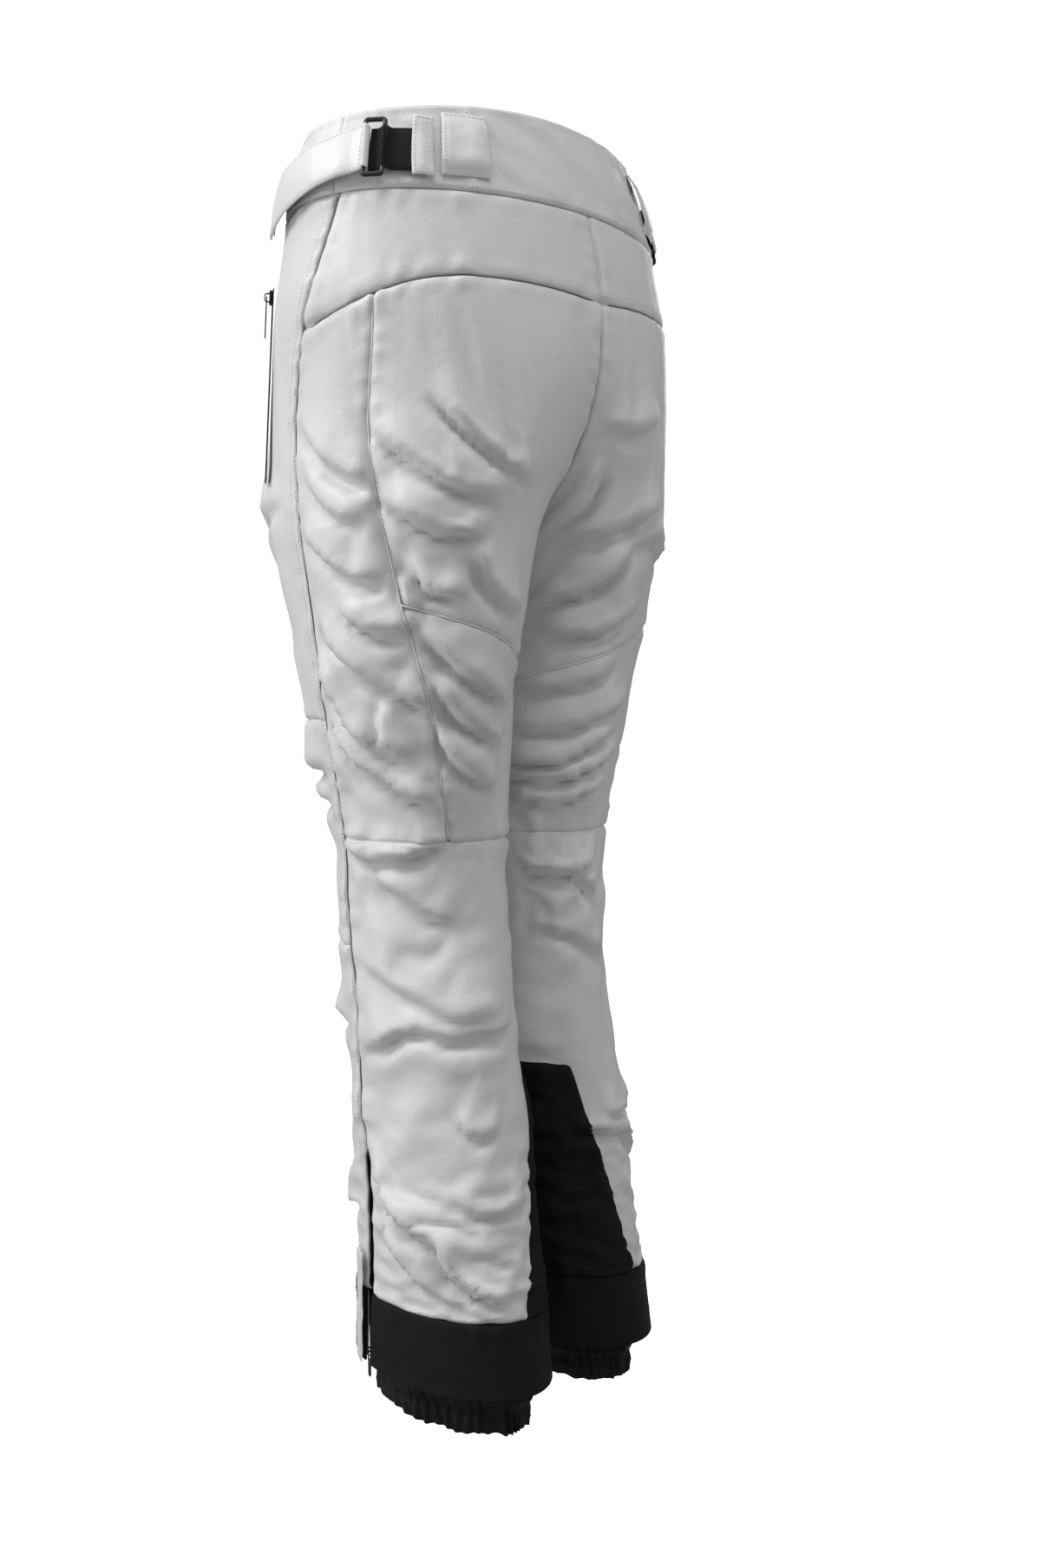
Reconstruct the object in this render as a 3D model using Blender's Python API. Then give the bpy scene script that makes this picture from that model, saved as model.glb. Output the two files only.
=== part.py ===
"""Ski pants: shell panels, waist adjusters, belt loops, zips, kick guards and snow gaiters.

Run with: blender --background --python part.py
Metres, +Z up. The origin is the centre of the waist opening. The wearer faces -Y, and the
wearer's left side is +X. Everything with a left and a right copy is drawn for the left side
and mirrored through the plane x = 0.
"""

import math

import bmesh
import bpy
from mathutils import Matrix, Vector

# ---------------------------------------------------------------- driving dimensions
CLOTH = 0.0024            # shell, wadding and lining together
SEAM_GAP = 0.0016         # clear gap between two panels that are sewn edge to edge
WAIST_TOP_BACK = 0.012    # the back of the waist stands this much higher than the sides
WAIST_SEAM = -0.066       # lower edge of the waistband
YOKE_SIDE, YOKE_DIP, YOKE_BACK = -0.168, -0.133, -0.139
THIGH_SEAM_OUTER, THIGH_SEAM_INNER = -0.384, -0.440
KNEE_SEAM = -0.570
KNEE_PATCH_TOP, KNEE_PATCH_BOTTOM = -0.475, -0.660
GUARD_TOP = -0.766
BAND_TOP, HEM = -0.949, -1.006
GAITER_TOP, GAITER_BOTTOM = -0.930, -1.041
ANKLE_ZIP_TOP = -0.845
FLY_BOTTOM = -0.232
SLOT_HALF = 0.0054        # half the width of the slot in which a zip lies

# One row for each height: z, leg centre x, leg centre y, half width, front and back half depth.
# Above the crotch the two legs' ovals run into each other and are cut at x = 0.
STATIONS = [
    (-1.045, 0.0660, 0.036, 0.0635, 0.097, 0.099),
    (-0.960, 0.0640, 0.028, 0.0620, 0.089, 0.096),
    (-0.850, 0.0620, 0.016, 0.0595, 0.082, 0.092),
    (-0.720, 0.0600, 0.002, 0.0580, 0.080, 0.087),
    (-0.600, 0.0610, -0.006, 0.0590, 0.086, 0.085),
    (-0.500, 0.0690, -0.006, 0.0665, 0.100, 0.094),
    (-0.400, 0.0790, -0.004, 0.0770, 0.121, 0.110),
    (-0.320, 0.0840, -0.004, 0.0900, 0.138, 0.126),
    (-0.260, 0.0640, -0.002, 0.1150, 0.148, 0.138),
    (-0.200, 0.0340, 0.000, 0.1510, 0.152, 0.144),
    (-0.130, 0.0080, 0.002, 0.1820, 0.148, 0.139),
    (-0.060, 0.0000, 0.002, 0.1840, 0.133, 0.125),
    (0.000, 0.0000, 0.000, 0.1690, 0.117, 0.109),
    (0.030, 0.0000, 0.000, 0.1620, 0.110, 0.101),
]

COLOURS = {
    "shell_fabric": ((0.86, 0.85, 0.85), 0.55),
    "guard_fabric": ((0.020, 0.020, 0.022), 0.70),
    "gaiter_fabric": ((0.012, 0.012, 0.013), 0.75),
    "webbing": ((0.015, 0.015, 0.016), 0.80),
    "hook_and_loop": ((0.030, 0.030, 0.033), 0.90),
    "black_plastic": ((0.018, 0.018, 0.020), 0.45),
    "zip_tape": ((0.018, 0.018, 0.020), 0.75),
    "zip_metal": ((0.035, 0.035, 0.038), 0.35),
    "gusset_lining": ((0.74, 0.70, 0.68), 0.70),
    "snap_metal": ((0.45, 0.45, 0.46), 0.30),
}


# ---------------------------------------------------------------- the body's surface
def slope(rows, row, column):
    """Slope of one column at a row, with no overshoot: zero where the column turns or is flat."""
    if row in (0, len(rows) - 1):
        near, far = (0, 1) if row == 0 else (-2, -1)
        return (rows[far][column] - rows[near][column]) / (rows[far][0] - rows[near][0])
    below, here, above = rows[row - 1], rows[row], rows[row + 1]
    lower = (here[column] - below[column]) / (here[0] - below[0])
    upper = (above[column] - here[column]) / (above[0] - here[0])
    if lower * upper <= 0:
        return 0.0
    return 2 * lower * upper / (lower + upper)


def smooth(rows, x):
    """The columns after the first, read off smooth curves through the rows. The ends stay level."""
    row = 0
    while row < len(rows) - 2 and x > rows[row + 1][0]:
        row += 1
    low, high = rows[row], rows[row + 1]
    step = high[0] - low[0]
    t = min(max((x - low[0]) / step, 0.0), 1.0)
    values = []
    for column in range(1, len(low)):
        start = slope(rows, row, column) * step
        end = slope(rows, row + 1, column) * step
        values.append(
            (2 * t**3 - 3 * t**2 + 1) * low[column]
            + (t**3 - 2 * t**2 + t) * start
            + (-2 * t**3 + 3 * t**2) * high[column]
            + (t**3 - t**2) * end
        )
    return values


def oval(z):
    """(centre x, centre y, half width, front half depth, back half depth) at a height."""
    return smooth(STATIONS, z)


def inner_limit(z):
    """The angle where the left leg's oval reaches its inseam, or the centre seam above the crotch."""
    cx, _, rx, _, _ = oval(z)
    clear = SEAM_GAP / 2
    return math.pi if cx - rx >= clear else math.acos((clear - cx) / rx)


def skin(angle, z, out=0.0):
    """A point on the left side. Angle 0 is the outer side, positive is towards the back."""
    cx, cy, rx, front, back = oval(z)
    depth = back if math.sin(angle) > 0 else front
    normal = outward(angle, z)
    return Vector((cx + rx * math.cos(angle), cy + depth * math.sin(angle), z)) + normal * out


def outward(angle, z):
    """The level direction that points straight out of the cloth."""
    _, _, rx, front, back = oval(z)
    depth = back if math.sin(angle) > 0 else front
    return Vector((math.cos(angle) / rx, math.sin(angle) / depth, 0)).normalized()


def arc(angle, z, length):
    """The change of angle that moves a point this far along the level outline."""
    _, _, rx, front, back = oval(z)
    depth = back if math.sin(angle) > 0 else front
    return length / max(math.hypot(rx * math.sin(angle), depth * math.cos(angle)), 0.8 * min(rx, depth))


# ---------------------------------------------------------------- seams, as angles or heights
def ramp(x, *points):
    """A smooth curve through (x, value) points that run from low x to high x."""
    return smooth(points, x)[0]


def side_seam(z):
    return ramp(z, (-1.00, -0.42), (-0.84, -0.35), (-0.41, -0.29), (-0.25, -0.22), (-0.06, 0.20))


def back_seam(z):
    return ramp(z, (-0.57, 0.99), (-0.50, 0.91), (-0.38, 0.61), (-0.32, 0.49), (-0.24, 0.37), (-0.147, 0.42))


def guard_back(z):
    return ramp(z, (BAND_TOP, 1.50), (GUARD_TOP, 2.12))


def guard_front(z):
    return -ramp(z, (BAND_TOP, 1.90), (GUARD_TOP, 2.30))


def inseam_back(z):
    return inner_limit(z)


def inseam_front(z):
    return -inner_limit(z)


def yoke_seam(angle):
    return ramp(angle, (0.0, YOKE_SIDE), (0.44, -0.147), (0.85, YOKE_DIP), (math.pi / 2, YOKE_BACK))


def thigh_seam(angle):
    return ramp(angle, (0.61, THIGH_SEAM_OUTER), (2.74, THIGH_SEAM_INNER))


def level(z):
    return lambda _angle: z


def waist_top(angle):
    """The waistband's upper edge, which rises towards the centre back."""
    return WAIST_TOP_BACK * max(0.0, math.sin(angle)) ** 2


# ---------------------------------------------------------------- materials and objects
def clear_scene():
    for thing in list(bpy.data.objects):
        bpy.data.objects.remove(thing)


def material(name):
    """The part's Principled material, made once."""
    found = bpy.data.materials.get(name)
    if found:
        return found
    colour, roughness = COLOURS[name]
    made = bpy.data.materials.new(name)
    made.use_nodes = True
    shader = made.node_tree.nodes["Principled BSDF"]
    shader.inputs["Base Color"].default_value = (*colour, 1)
    shader.inputs["Roughness"].default_value = roughness
    shader.inputs["Metallic"].default_value = 1.0 if name in ("zip_metal", "snap_metal") else 0.0
    return made


def finish(name, mesh_data, slot, side=1, parent=None):
    """Links a bmesh as a named object, mirrored for the right side."""
    if side < 0:
        bmesh.ops.transform(mesh_data, matrix=Matrix.Scale(-1, 4, (1, 0, 0)), verts=mesh_data.verts)
    bmesh.ops.recalc_face_normals(mesh_data, faces=mesh_data.faces)
    mesh = bpy.data.meshes.new(name)
    mesh_data.to_mesh(mesh)
    mesh_data.free()
    mesh.materials.append(material(slot))
    mesh.shade_smooth()
    mesh.set_sharp_from_angle(angle=math.radians(40))
    made = bpy.data.objects.new(name, mesh)
    bpy.context.scene.collection.objects.link(made)
    if parent:
        hinge_at(made, parent)
    return made


def hinge_at(thing, point):
    """Moves an object's origin to its joint, leaving its shape where it is."""
    offset = Vector(point)
    thing.data.transform(Matrix.Translation(-offset))
    thing.location = offset


def both_sides(builder):
    """Runs a builder for the left side and for the right side."""
    for side, word in ((1, "left"), (-1, "right")):
        builder(side, word)


# ---------------------------------------------------------------- cloth panels
def block(angle_from, angle_to, z_from, z_to, across, up):
    """A grid of (angle, z) points between two seams and two edges."""
    rows = []
    for j in range(up + 1):
        row = []
        for i in range(across + 1):
            angle, z = 0.5 * (angle_from(z_from(0)) + angle_to(z_from(0))), z_from(0)
            for _ in range(5):
                low, high = angle_from(z), angle_to(z)
                angle = low + (high - low) * i / across
                z = z_from(angle) + (z_to(angle) - z_from(angle)) * j / up
            row.append((angle, z))
        rows.append(row)
    return rows


def inset(seam, sign, length=SEAM_GAP / 2):
    """A seam moved sideways by half the gap, so that two panels don't touch."""
    return lambda z: seam(z) + sign * arc(seam(z), z, length)


def above(edge, length=SEAM_GAP / 2):
    return lambda angle: edge(angle) + length


def below(edge, length=SEAM_GAP / 2):
    return lambda angle: edge(angle) - length


def thicken(outer, inner, quads):
    """A closed solid between two surfaces that share their faces."""
    made = bmesh.new()
    top = [made.verts.new(p) for p in outer]
    bottom = [made.verts.new(p) for p in inner]
    edges = {}
    for quad in quads:
        made.faces.new([top[i] for i in quad])
        made.faces.new([bottom[i] for i in reversed(quad)])
        for a, b in zip(quad, quad[1:] + quad[:1]):
            edges[(a, b)] = edges.get((a, b), 0) + 1
    for a, b in edges:
        if (b, a) not in edges:
            made.faces.new([top[b], top[a], bottom[a], bottom[b]])
    return made


def sheet_from(blocks, outer_at, inner_at):
    """A closed solid over one or more blocks that share edges. Each surface takes (angle, z)."""
    places, index, quads = [], {}, []
    for rows in blocks:
        ids = []
        for row in rows:
            line = []
            for angle, z in row:
                key = (round(angle, 5), round(z, 6))
                if key not in index:
                    index[key] = len(places)
                    places.append((angle, z))
                line.append(index[key])
            ids.append(line)
        for low, high in zip(ids, ids[1:]):
            for i in range(len(low) - 1):
                quads.append([low[i], low[i + 1], high[i + 1], high[i]])
    return thicken([outer_at(*p) for p in places], [inner_at(*p) for p in places], quads)


def panel(name, side, blocks, slot="shell_fabric", out=0.0, thickness=CLOTH):
    mesh = sheet_from(blocks, lambda a, z: skin(a, z, out), lambda a, z: skin(a, z, out - thickness))
    return finish(name, mesh, slot, side)


def side_slot(sign):
    """The side seam's edge, which opens to a slot beside the ankle zip."""
    def edge(z):
        half = SLOT_HALF if z < ANKLE_ZIP_TOP else SEAM_GAP / 2
        return side_seam(z) + sign * arc(side_seam(z), z, half)
    return edge


def fly_edge(z):
    """The front panel's inner edge, which opens to a slot beside the fly zip."""
    half = ramp(z, (FLY_BOTTOM - 0.012, SEAM_GAP / 2), (FLY_BOTTOM, SLOT_HALF))
    return inseam_front(z) + arc(inseam_front(z), z, half)


def lower_leg(edge, guard, inseam, sign, top):
    """The blocks of a calf or shin panel: one beside the guard, two above it, with a step between."""
    step = GUARD_TOP + SEAM_GAP / 2
    corner = guard(step) - sign * arc(guard(step), step, SEAM_GAP / 2)
    zip_top = ANKLE_ZIP_TOP
    beside = inset(guard, -sign)
    blocks = [
        block(edge, beside, above(level(BAND_TOP)), level(zip_top - 1e-6), 7, 4),
        block(edge, beside, level(zip_top + 1e-6), level(step), 7, 3),
        block(edge, lambda z: corner, level(step), below(top), 7, 5),
        block(lambda z: corner, inset(inseam, -sign), level(step), below(top), 4, 5),
    ]
    blocks[1][0] = blocks[0][-1]
    blocks[2][0] = blocks[1][-1]
    blocks[3][0] = [blocks[2][0][-1]] + blocks[3][0][1:]
    return blocks


def leg_panels(side, word):
    """The shell of one leg, seam by seam, from the waistband down."""
    waist, knee = level(WAIST_SEAM), level(KNEE_SEAM)
    patch_top, patch_bottom = level(KNEE_PATCH_TOP), level(KNEE_PATCH_BOTTOM)
    side_back, side_front = inset(side_seam, 1), inset(side_seam, -1)
    inner_back, inner_front = inset(inseam_back, -1), inset(inseam_front, 1)
    behind, ahead = inset(back_seam, 1), inset(back_seam, -1)

    panel(f"back_yoke_{word}", side, [block(side_back, inner_back, above(yoke_seam), below(waist), 10, 4)])
    panel(f"seat_panel_{word}", side, [block(behind, inner_back, above(thigh_seam), below(yoke_seam), 9, 12)])
    panel(f"side_panel_{word}", side, [block(side_back, ahead, above(knee), below(yoke_seam), 4, 14)])
    panel(f"knee_back_panel_{word}", side, [block(behind, inner_back, above(knee), below(thigh_seam), 7, 5)])
    panel(f"front_panel_{word}", side, [block(fly_edge, side_front, above(patch_top), below(waist), 8, 14)])
    panel(f"knee_panel_{word}", side, [block(inner_front, side_front, above(patch_bottom), below(patch_top), 9, 6)])
    panel(f"calf_panel_{word}", side, lower_leg(side_slot(1), guard_back, inseam_back, 1, knee))
    panel(f"shin_panel_{word}", side, lower_leg(side_slot(-1), guard_front, inseam_front, -1, patch_bottom))


def cuff(side, word):
    """The black guard on the inner ankle, the band round the hem, and the snow gaiter inside."""
    guard_end = lambda z: 2 * math.pi + guard_front(z)
    guard = [block(inset(guard_back, 1), inset(guard_end, -1), above(level(BAND_TOP)), below(level(GUARD_TOP)), 9, 6)]
    panel(f"kick_guard_{word}", side, guard, "guard_fabric")
    start = lambda z: side_slot(1)(z)
    end = lambda z: 2 * math.pi + side_slot(-1)(z)
    band = [block(start, end, level(HEM), below(level(BAND_TOP)), 26, 2)]
    panel(f"hem_band_{word}", side, band, "guard_fabric")
    gaiter(side, word)


def gaiter(side, word):
    """A closed sleeve that narrows to its elastic below the hem."""
    around, up = 28, 4
    shape = bmesh.new()
    rings = []
    for j in range(2 * up + 2):
        outer = j <= up
        t = (j if outer else 2 * up + 1 - j) / up
        z = GAITER_TOP + (GAITER_BOTTOM - GAITER_TOP) * t
        inside = 0.0095 + 0.0105 * t**2 + (0.0 if outer else 0.0022)
        rings.append([shape.verts.new(cuff_point(2 * math.pi * i / around, z, inside)) for i in range(around)])
    for j in range(len(rings)):
        low, high = rings[j], rings[(j + 1) % len(rings)]
        for i in range(around):
            k = (i + 1) % around
            shape.faces.new([low[i], low[k], high[k], high[i]])
    finish(f"gaiter_{word}", shape, "gaiter_fabric", side)


def cuff_point(angle, z, inside):
    """A point inside the cuff, which keeps the hem's outline below the hem."""
    point = skin(angle, max(z, HEM), -inside)
    return Vector((point.x, point.y, z))


def ankle_gusset(side, word):
    """The pale placket in front of the ankle zip, standing just inside the shin panel's edge."""
    start = lambda z: side_seam(z) - 0.30
    end = lambda z: side_seam(z) - 0.14
    rows = [block(start, end, level(HEM + 0.004), level(ANKLE_ZIP_TOP - 0.004), 3, 6)]
    panel(f"ankle_gusset_{word}", side, rows, "gusset_lining", -0.0034, 0.0010)


# ---------------------------------------------------------------- waistband
def waistband():
    """Two front pieces and a raised back piece, split at the sides and at the centre front."""
    split, centre = 0.15, -math.pi / 2
    bottom, top = level(WAIST_SEAM), waist_top

    def piece(name, start, end, across):
        rows = [block(lambda z: start, lambda z: end, above(bottom), top, across, 3)]
        panel(name, 1, rows, out=0.0006, thickness=0.0034)

    gap = arc(split, 0, SEAM_GAP / 2)
    piece("waistband_back", split + gap, math.pi - split - gap, 22)
    piece("waistband_front_left", centre + 0.010, split - gap, 10)
    piece("waistband_front_right", math.pi - split + gap, 2 * math.pi + centre - 0.010, 10)


LOOP_HALF = {"back": 0.12, "front": 0.070}
LOOP_ANGLE = {"back": 0.90, "front": -1.05}
LOOP_LOW, LOOP_HIGH = -0.056, -0.002
LOOP_STAND = 0.0070       # clear depth under a belt loop


def belt_loop(side, word, place):
    """A wide cloth loop: two feet on the waistband and a bridge that stands clear of it."""
    middle, half, feet = LOOP_ANGLE[place], LOOP_HALF[place], 0.0040
    inner, outer = 0.0002, LOOP_STAND + 0.0026
    across = 4
    shape = bmesh.new()
    # Side outline, from foot to foot and back: (height, distance out of the waistband).
    outline = [
        (LOOP_LOW, inner), (LOOP_LOW, outer - 0.001), (LOOP_LOW + 0.002, outer),
        (LOOP_HIGH - 0.002, outer), (LOOP_HIGH, outer - 0.001), (LOOP_HIGH, inner),
        (LOOP_HIGH - feet, inner), (LOOP_HIGH - feet, LOOP_STAND + 0.0008),
        (LOOP_LOW + feet, LOOP_STAND + 0.0008), (LOOP_LOW + feet, inner),
    ]
    base = 0.5 * (LOOP_LOW + LOOP_HIGH)
    rings = []
    for i in range(across + 1):
        angle = middle - half + 2 * half * i / across
        rings.append([shape.verts.new(on_waist(angle, z, out, base)) for z, out in outline])
    for low, high in zip(rings, rings[1:]):
        for k in range(len(outline)):
            n = (k + 1) % len(outline)
            shape.faces.new([low[k], low[n], high[n], high[k]])
    shape.faces.new(rings[0])
    shape.faces.new(list(reversed(rings[-1])))
    finish(f"belt_loop_{place}_{word}", shape, "shell_fabric", side)


def on_waist(angle, z, out, base):
    """A point a given distance out of the sloping waistband, at a given height along it."""
    point = skin(angle, z, 0.0012)
    low, high = skin(angle, base - 0.02), skin(angle, base + 0.02)
    lean = (high - low).normalized()
    level_out = outward(angle, base)
    normal = (level_out - lean * level_out.dot(lean)).normalized()
    return point + normal * out


# ---------------------------------------------------------------- waist adjusters
ELASTIC_FROM, ELASTIC_TO = 0.455, 0.640
RING_ANGLE = 0.425
RING_HALF_WIDE, RING_BAR = 0.0062, 0.0030
TAB_LOW, TAB_HIGH = -0.056, -0.018
TAB_TIP_ANGLE = -0.58
TAB_DROP = 0.034          # how far the tab's tip hangs below its ring end
TAB_LIFT = 0.004          # how much further the tip stands off than the ring end


def strip(name, side, slot, start, end, low, high, out, thickness, across, up=2):
    """A level strap that follows the waistband."""
    rows = [[(start + (end - start) * i / across, low + (high - low) * j / up) for i in range(across + 1)]
            for j in range(up + 1)]
    middle = 0.5 * (low + high)
    mesh = sheet_from([rows], lambda a, z: on_waist(a, z, out, middle),
                      lambda a, z: on_waist(a, z, out - thickness, middle))
    return finish(name, mesh, slot, side)


def tab_piece(name, side, slot, share_from, share_to, width, out, thickness, across):
    """Part of the adjuster tab, by its share of the tab's length and of its width."""
    start = RING_ANGLE - 0.078
    middle = 0.5 * (TAB_LOW + TAB_HIGH)

    def surface(share, t, lift):
        angle = start + (TAB_TIP_ANGLE - start) * share
        half = 0.5 * (TAB_HIGH - TAB_LOW) * (1 - 0.30 * share**3)
        z = middle - TAB_DROP * share**1.4 + half * t
        return on_waist(angle, z, lift + TAB_LIFT * share, z)

    rows = []
    for t in (-width, 0.0, width):
        rows.append([(share_from + (share_to - share_from) * i / across, t) for i in range(across + 1)])
    mesh = sheet_from([rows], lambda a, t: surface(a, t, out), lambda a, t: surface(a, t, out - thickness))
    return finish(name, mesh, slot, side)


def ring_frame():
    """Origin and axes at the adjuster ring: out of the waist, forwards along it, and up it."""
    base = 0.5 * (TAB_LOW + TAB_HIGH)
    origin = on_waist(RING_ANGLE, base, 0.0066, base)
    up = (skin(RING_ANGLE, base + 0.02) - skin(RING_ANGLE, base - 0.02)).normalized()
    out = (outward(RING_ANGLE, base) - up * outward(RING_ANGLE, base).dot(up)).normalized()
    return origin, out, out.cross(up).normalized(), up


def adjuster(side, word):
    """Black elastic, its rectangular ring, and the pale tab that doubles back from the ring."""
    strip(f"adjuster_elastic_{word}", side, "webbing", ELASTIC_FROM, ELASTIC_TO,
          TAB_LOW + 0.001, TAB_HIGH - 0.001, 0.0040, 0.0020, 4)
    adjuster_ring(side, word)
    tab = tab_piece(f"adjuster_tab_{word}", side, "shell_fabric", 0, 1, 1, 0.0079, 0.0026, 12)
    hook = tab_piece(f"hook_patch_{word}", side, "hook_and_loop", 0.62, 0.96, 0.8, 0.0045, 0.0010, 5)
    strip(f"loop_patch_{word}", side, "hook_and_loop", TAB_TIP_ANGLE + 0.05, TAB_TIP_ANGLE + 0.52,
          -0.0600, -0.0240, 0.0030, 0.0014, 4, 1)
    origin, _, forwards, _ = ring_frame()
    pivot = origin + forwards * (RING_HALF_WIDE + RING_BAR / 2)
    pivot = Vector((side * pivot.x, pivot.y, pivot.z))
    for thing in (tab, hook):
        hinge_at(thing, pivot)


def adjuster_ring(side, word):
    """A flat rectangular ring with rounded corners, made of 3 mm plastic."""
    origin, out, along, up = ring_frame()
    half_wide, half_high, bar = RING_HALF_WIDE, 0.0225, RING_BAR
    shape = bmesh.new()
    rings = []
    for grow in (0.0, bar):
        for lift in (-0.0012, 0.0012):
            loop = []
            for corner in range(4):
                sign_a = 1 if corner in (0, 3) else -1
                sign_u = 1 if corner in (0, 1) else -1
                for k in range(3):
                    turn = (corner + k / 2) * math.pi / 2
                    radius = 0.001 + grow * 0.8
                    a = sign_a * (half_wide + grow - radius) + radius * math.cos(turn)
                    u = sign_u * (half_high + grow - radius) + radius * math.sin(turn)
                    loop.append(shape.verts.new(origin + along * a + up * u + out * lift))
            rings.append(loop)
    order = (0, 1, 3, 2)
    for k in range(4):
        low, high = rings[order[k]], rings[order[(k + 1) % 4]]
        for i in range(len(low)):
            n = (i + 1) % len(low)
            shape.faces.new([low[i], low[n], high[n], high[i]])
    finish(f"adjuster_ring_{word}", shape, "black_plastic", side)


# ---------------------------------------------------------------- zips
SLIDER_LENGTH, SLIDER_HALF = 0.0110, 0.0042
COIL_HALF, COIL_HIGH = 0.0022, 0.0014
PIVOT_HIGH = 0.0052       # height of the pull's crossbar over the tape's outer face


class ZipLine:
    """A straight zip: origin at its closed end, and axes along it, across it and out of it."""

    def __init__(self, closed_end, open_end, out):
        self.start = closed_end
        self.length = (open_end - closed_end).length
        self.along = (open_end - closed_end).normalized()
        self.across = out.cross(self.along).normalized()
        self.out = self.along.cross(self.across).normalized()

    def at(self, along, across, out):
        return self.start + self.along * along + self.across * across + self.out * out


def prism(shape, line, outline, start, end):
    """Adds a straight bar with the given (across, out) outline to a bmesh."""
    low = [shape.verts.new(line.at(start, a, o)) for a, o in outline]
    high = [shape.verts.new(line.at(end, a, o)) for a, o in outline]
    for k in range(len(outline)):
        n = (k + 1) % len(outline)
        shape.faces.new([low[k], low[n], high[n], high[k]])
    shape.faces.new(low)
    shape.faces.new(list(reversed(high)))


def zip_tape(name, side, line, half, thickness=0.0008):
    """Both tapes and the closed coil: a flat strip with a low ridge along its middle."""
    outline = [
        (-half, -thickness), (half, -thickness), (half, 0), (COIL_HALF, 0),
        (COIL_HALF * 0.8, COIL_HIGH), (-COIL_HALF * 0.8, COIL_HIGH), (-COIL_HALF, 0), (-half, 0),
    ]
    shape = bmesh.new()
    prism(shape, line, outline, 0, line.length)
    finish(name, shape, "zip_tape", side)


def zip_slider(name, side, line, place):
    """The slider: a plate and two flanges over the coil, with a crown that holds the pull."""
    shape = bmesh.new()
    wall, base, roof = SLIDER_HALF, 0.0004, COIL_HIGH + 0.0005
    lid = roof + 0.0010
    channel = [
        (-wall, base), (-wall, lid), (wall, lid), (wall, base),
        (wall - 0.0011, base), (wall - 0.0011, roof), (-wall + 0.0011, roof), (-wall + 0.0011, base),
    ]
    start = place - SLIDER_LENGTH / 2
    prism(shape, line, channel, start, start + SLIDER_LENGTH)
    body = finish(name, shape, "zip_metal", side)
    crown = bmesh.new()
    top, foot, thick, half = PIVOT_HIGH + 0.0020, lid - 0.0003, 0.0009, 0.0011
    arch = [
        (-0.0042, foot), (-0.0036, top - 0.0012), (-0.0022, top), (0.0022, top),
        (0.0036, top - 0.0012), (0.0042, foot), (0.0042 - thick * 1.2, foot),
        (0.0036 - thick, top - 0.0014), (0.0020, top - thick), (-0.0020, top - thick),
        (-0.0036 + thick, top - 0.0014), (-0.0042 + thick * 1.2, foot),
    ]
    left = [crown.verts.new(line.at(place + a, -half, o)) for a, o in arch]
    right = [crown.verts.new(line.at(place + a, half, o)) for a, o in arch]
    for k in range(len(arch)):
        n = (k + 1) % len(arch)
        crown.faces.new([left[k], left[n], right[n], right[k]])
    crown.faces.new(left)
    crown.faces.new(list(reversed(right)))
    cutter = finish(name + "_crown", crown, "zip_metal", side)
    cutter.hide_render = True
    cutter.display_type = "WIRE"
    join = body.modifiers.new("crown", "BOOLEAN")
    join.operation = "UNION"
    join.solver = "EXACT"
    join.object = cutter
    return body


def zip_pull(name, side, line, place, direction, length, slot="zip_metal"):
    """The pull: a small frame whose crossbar lies under the crown, with a grip at its far end."""
    inner, bar, reach = 0.0018, 0.0011, 0.0062
    grip = 0.0026
    h = 0.00055
    mirror = 1 if direction > 0 else -1
    outline_outer = [
        (-h, -inner - bar), (-h, inner + bar), (reach, inner + bar), (reach + 0.002, grip),
        (length - 0.002, grip), (length, grip * 0.6), (length, -grip * 0.6), (length - 0.002, -grip),
        (reach + 0.002, -grip), (reach, -inner - bar),
    ]
    outline_hole = [(h, -inner), (h, inner), (reach - 0.0006, inner), (reach - 0.0006, -inner)]
    shape = bmesh.new()

    def layer(points, out):
        return [shape.verts.new(line.at(place + mirror * a, c, out)) for a, c in points]

    rings = {}
    for out in (-h, h):
        rings[out] = (layer(outline_outer, PIVOT_HIGH + out), layer(outline_hole, PIVOT_HIGH + out))
    for part in (0, 1):
        low, high = rings[-h][part], rings[h][part]
        for k in range(len(low)):
            n = (k + 1) % len(low)
            shape.faces.new([low[k], low[n], high[n], high[k]])
    for out in (-h, h):
        outer, hole = rings[out]
        # The frame's flat faces, as quads from the outline to the hole, then the grip.
        shape.faces.new([outer[0], outer[1], hole[1], hole[0]])
        shape.faces.new([outer[1], outer[2], hole[2], hole[1]])
        shape.faces.new([outer[2], outer[9], hole[3], hole[2]])
        shape.faces.new([outer[9], outer[0], hole[0], hole[3]])
        shape.faces.new([outer[2], outer[3], outer[8], outer[9]])
        shape.faces.new([outer[3], outer[4], outer[5], outer[6], outer[7], outer[8]])
    pull = finish(name, shape, slot, side)
    pivot = line.at(place, 0, PIVOT_HIGH)
    hinge_at(pull, Vector((side * pivot.x, pivot.y, pivot.z)))


def zip_set(prefix, side, word, line, half, place, direction, pull_length):
    ending = f"_{word}" if word else ""
    zip_tape(f"{prefix}_zip_tape{ending}", side, line, half)
    zip_slider(f"{prefix}_zip_slider{ending}", side, line, place)
    zip_pull(f"{prefix}_zip_pull{ending}", side, line, place, direction, pull_length)


def ankle_line():
    """From the hem up the side seam, behind the slot's edges."""
    depth = -0.0066
    low, high = HEM + 0.0015, ANKLE_ZIP_TOP + 0.003
    return ZipLine(skin(side_seam(low), low, depth), skin(side_seam(high), high, depth),
                   outward(side_seam(low), 0.5 * (low + high)))


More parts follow.
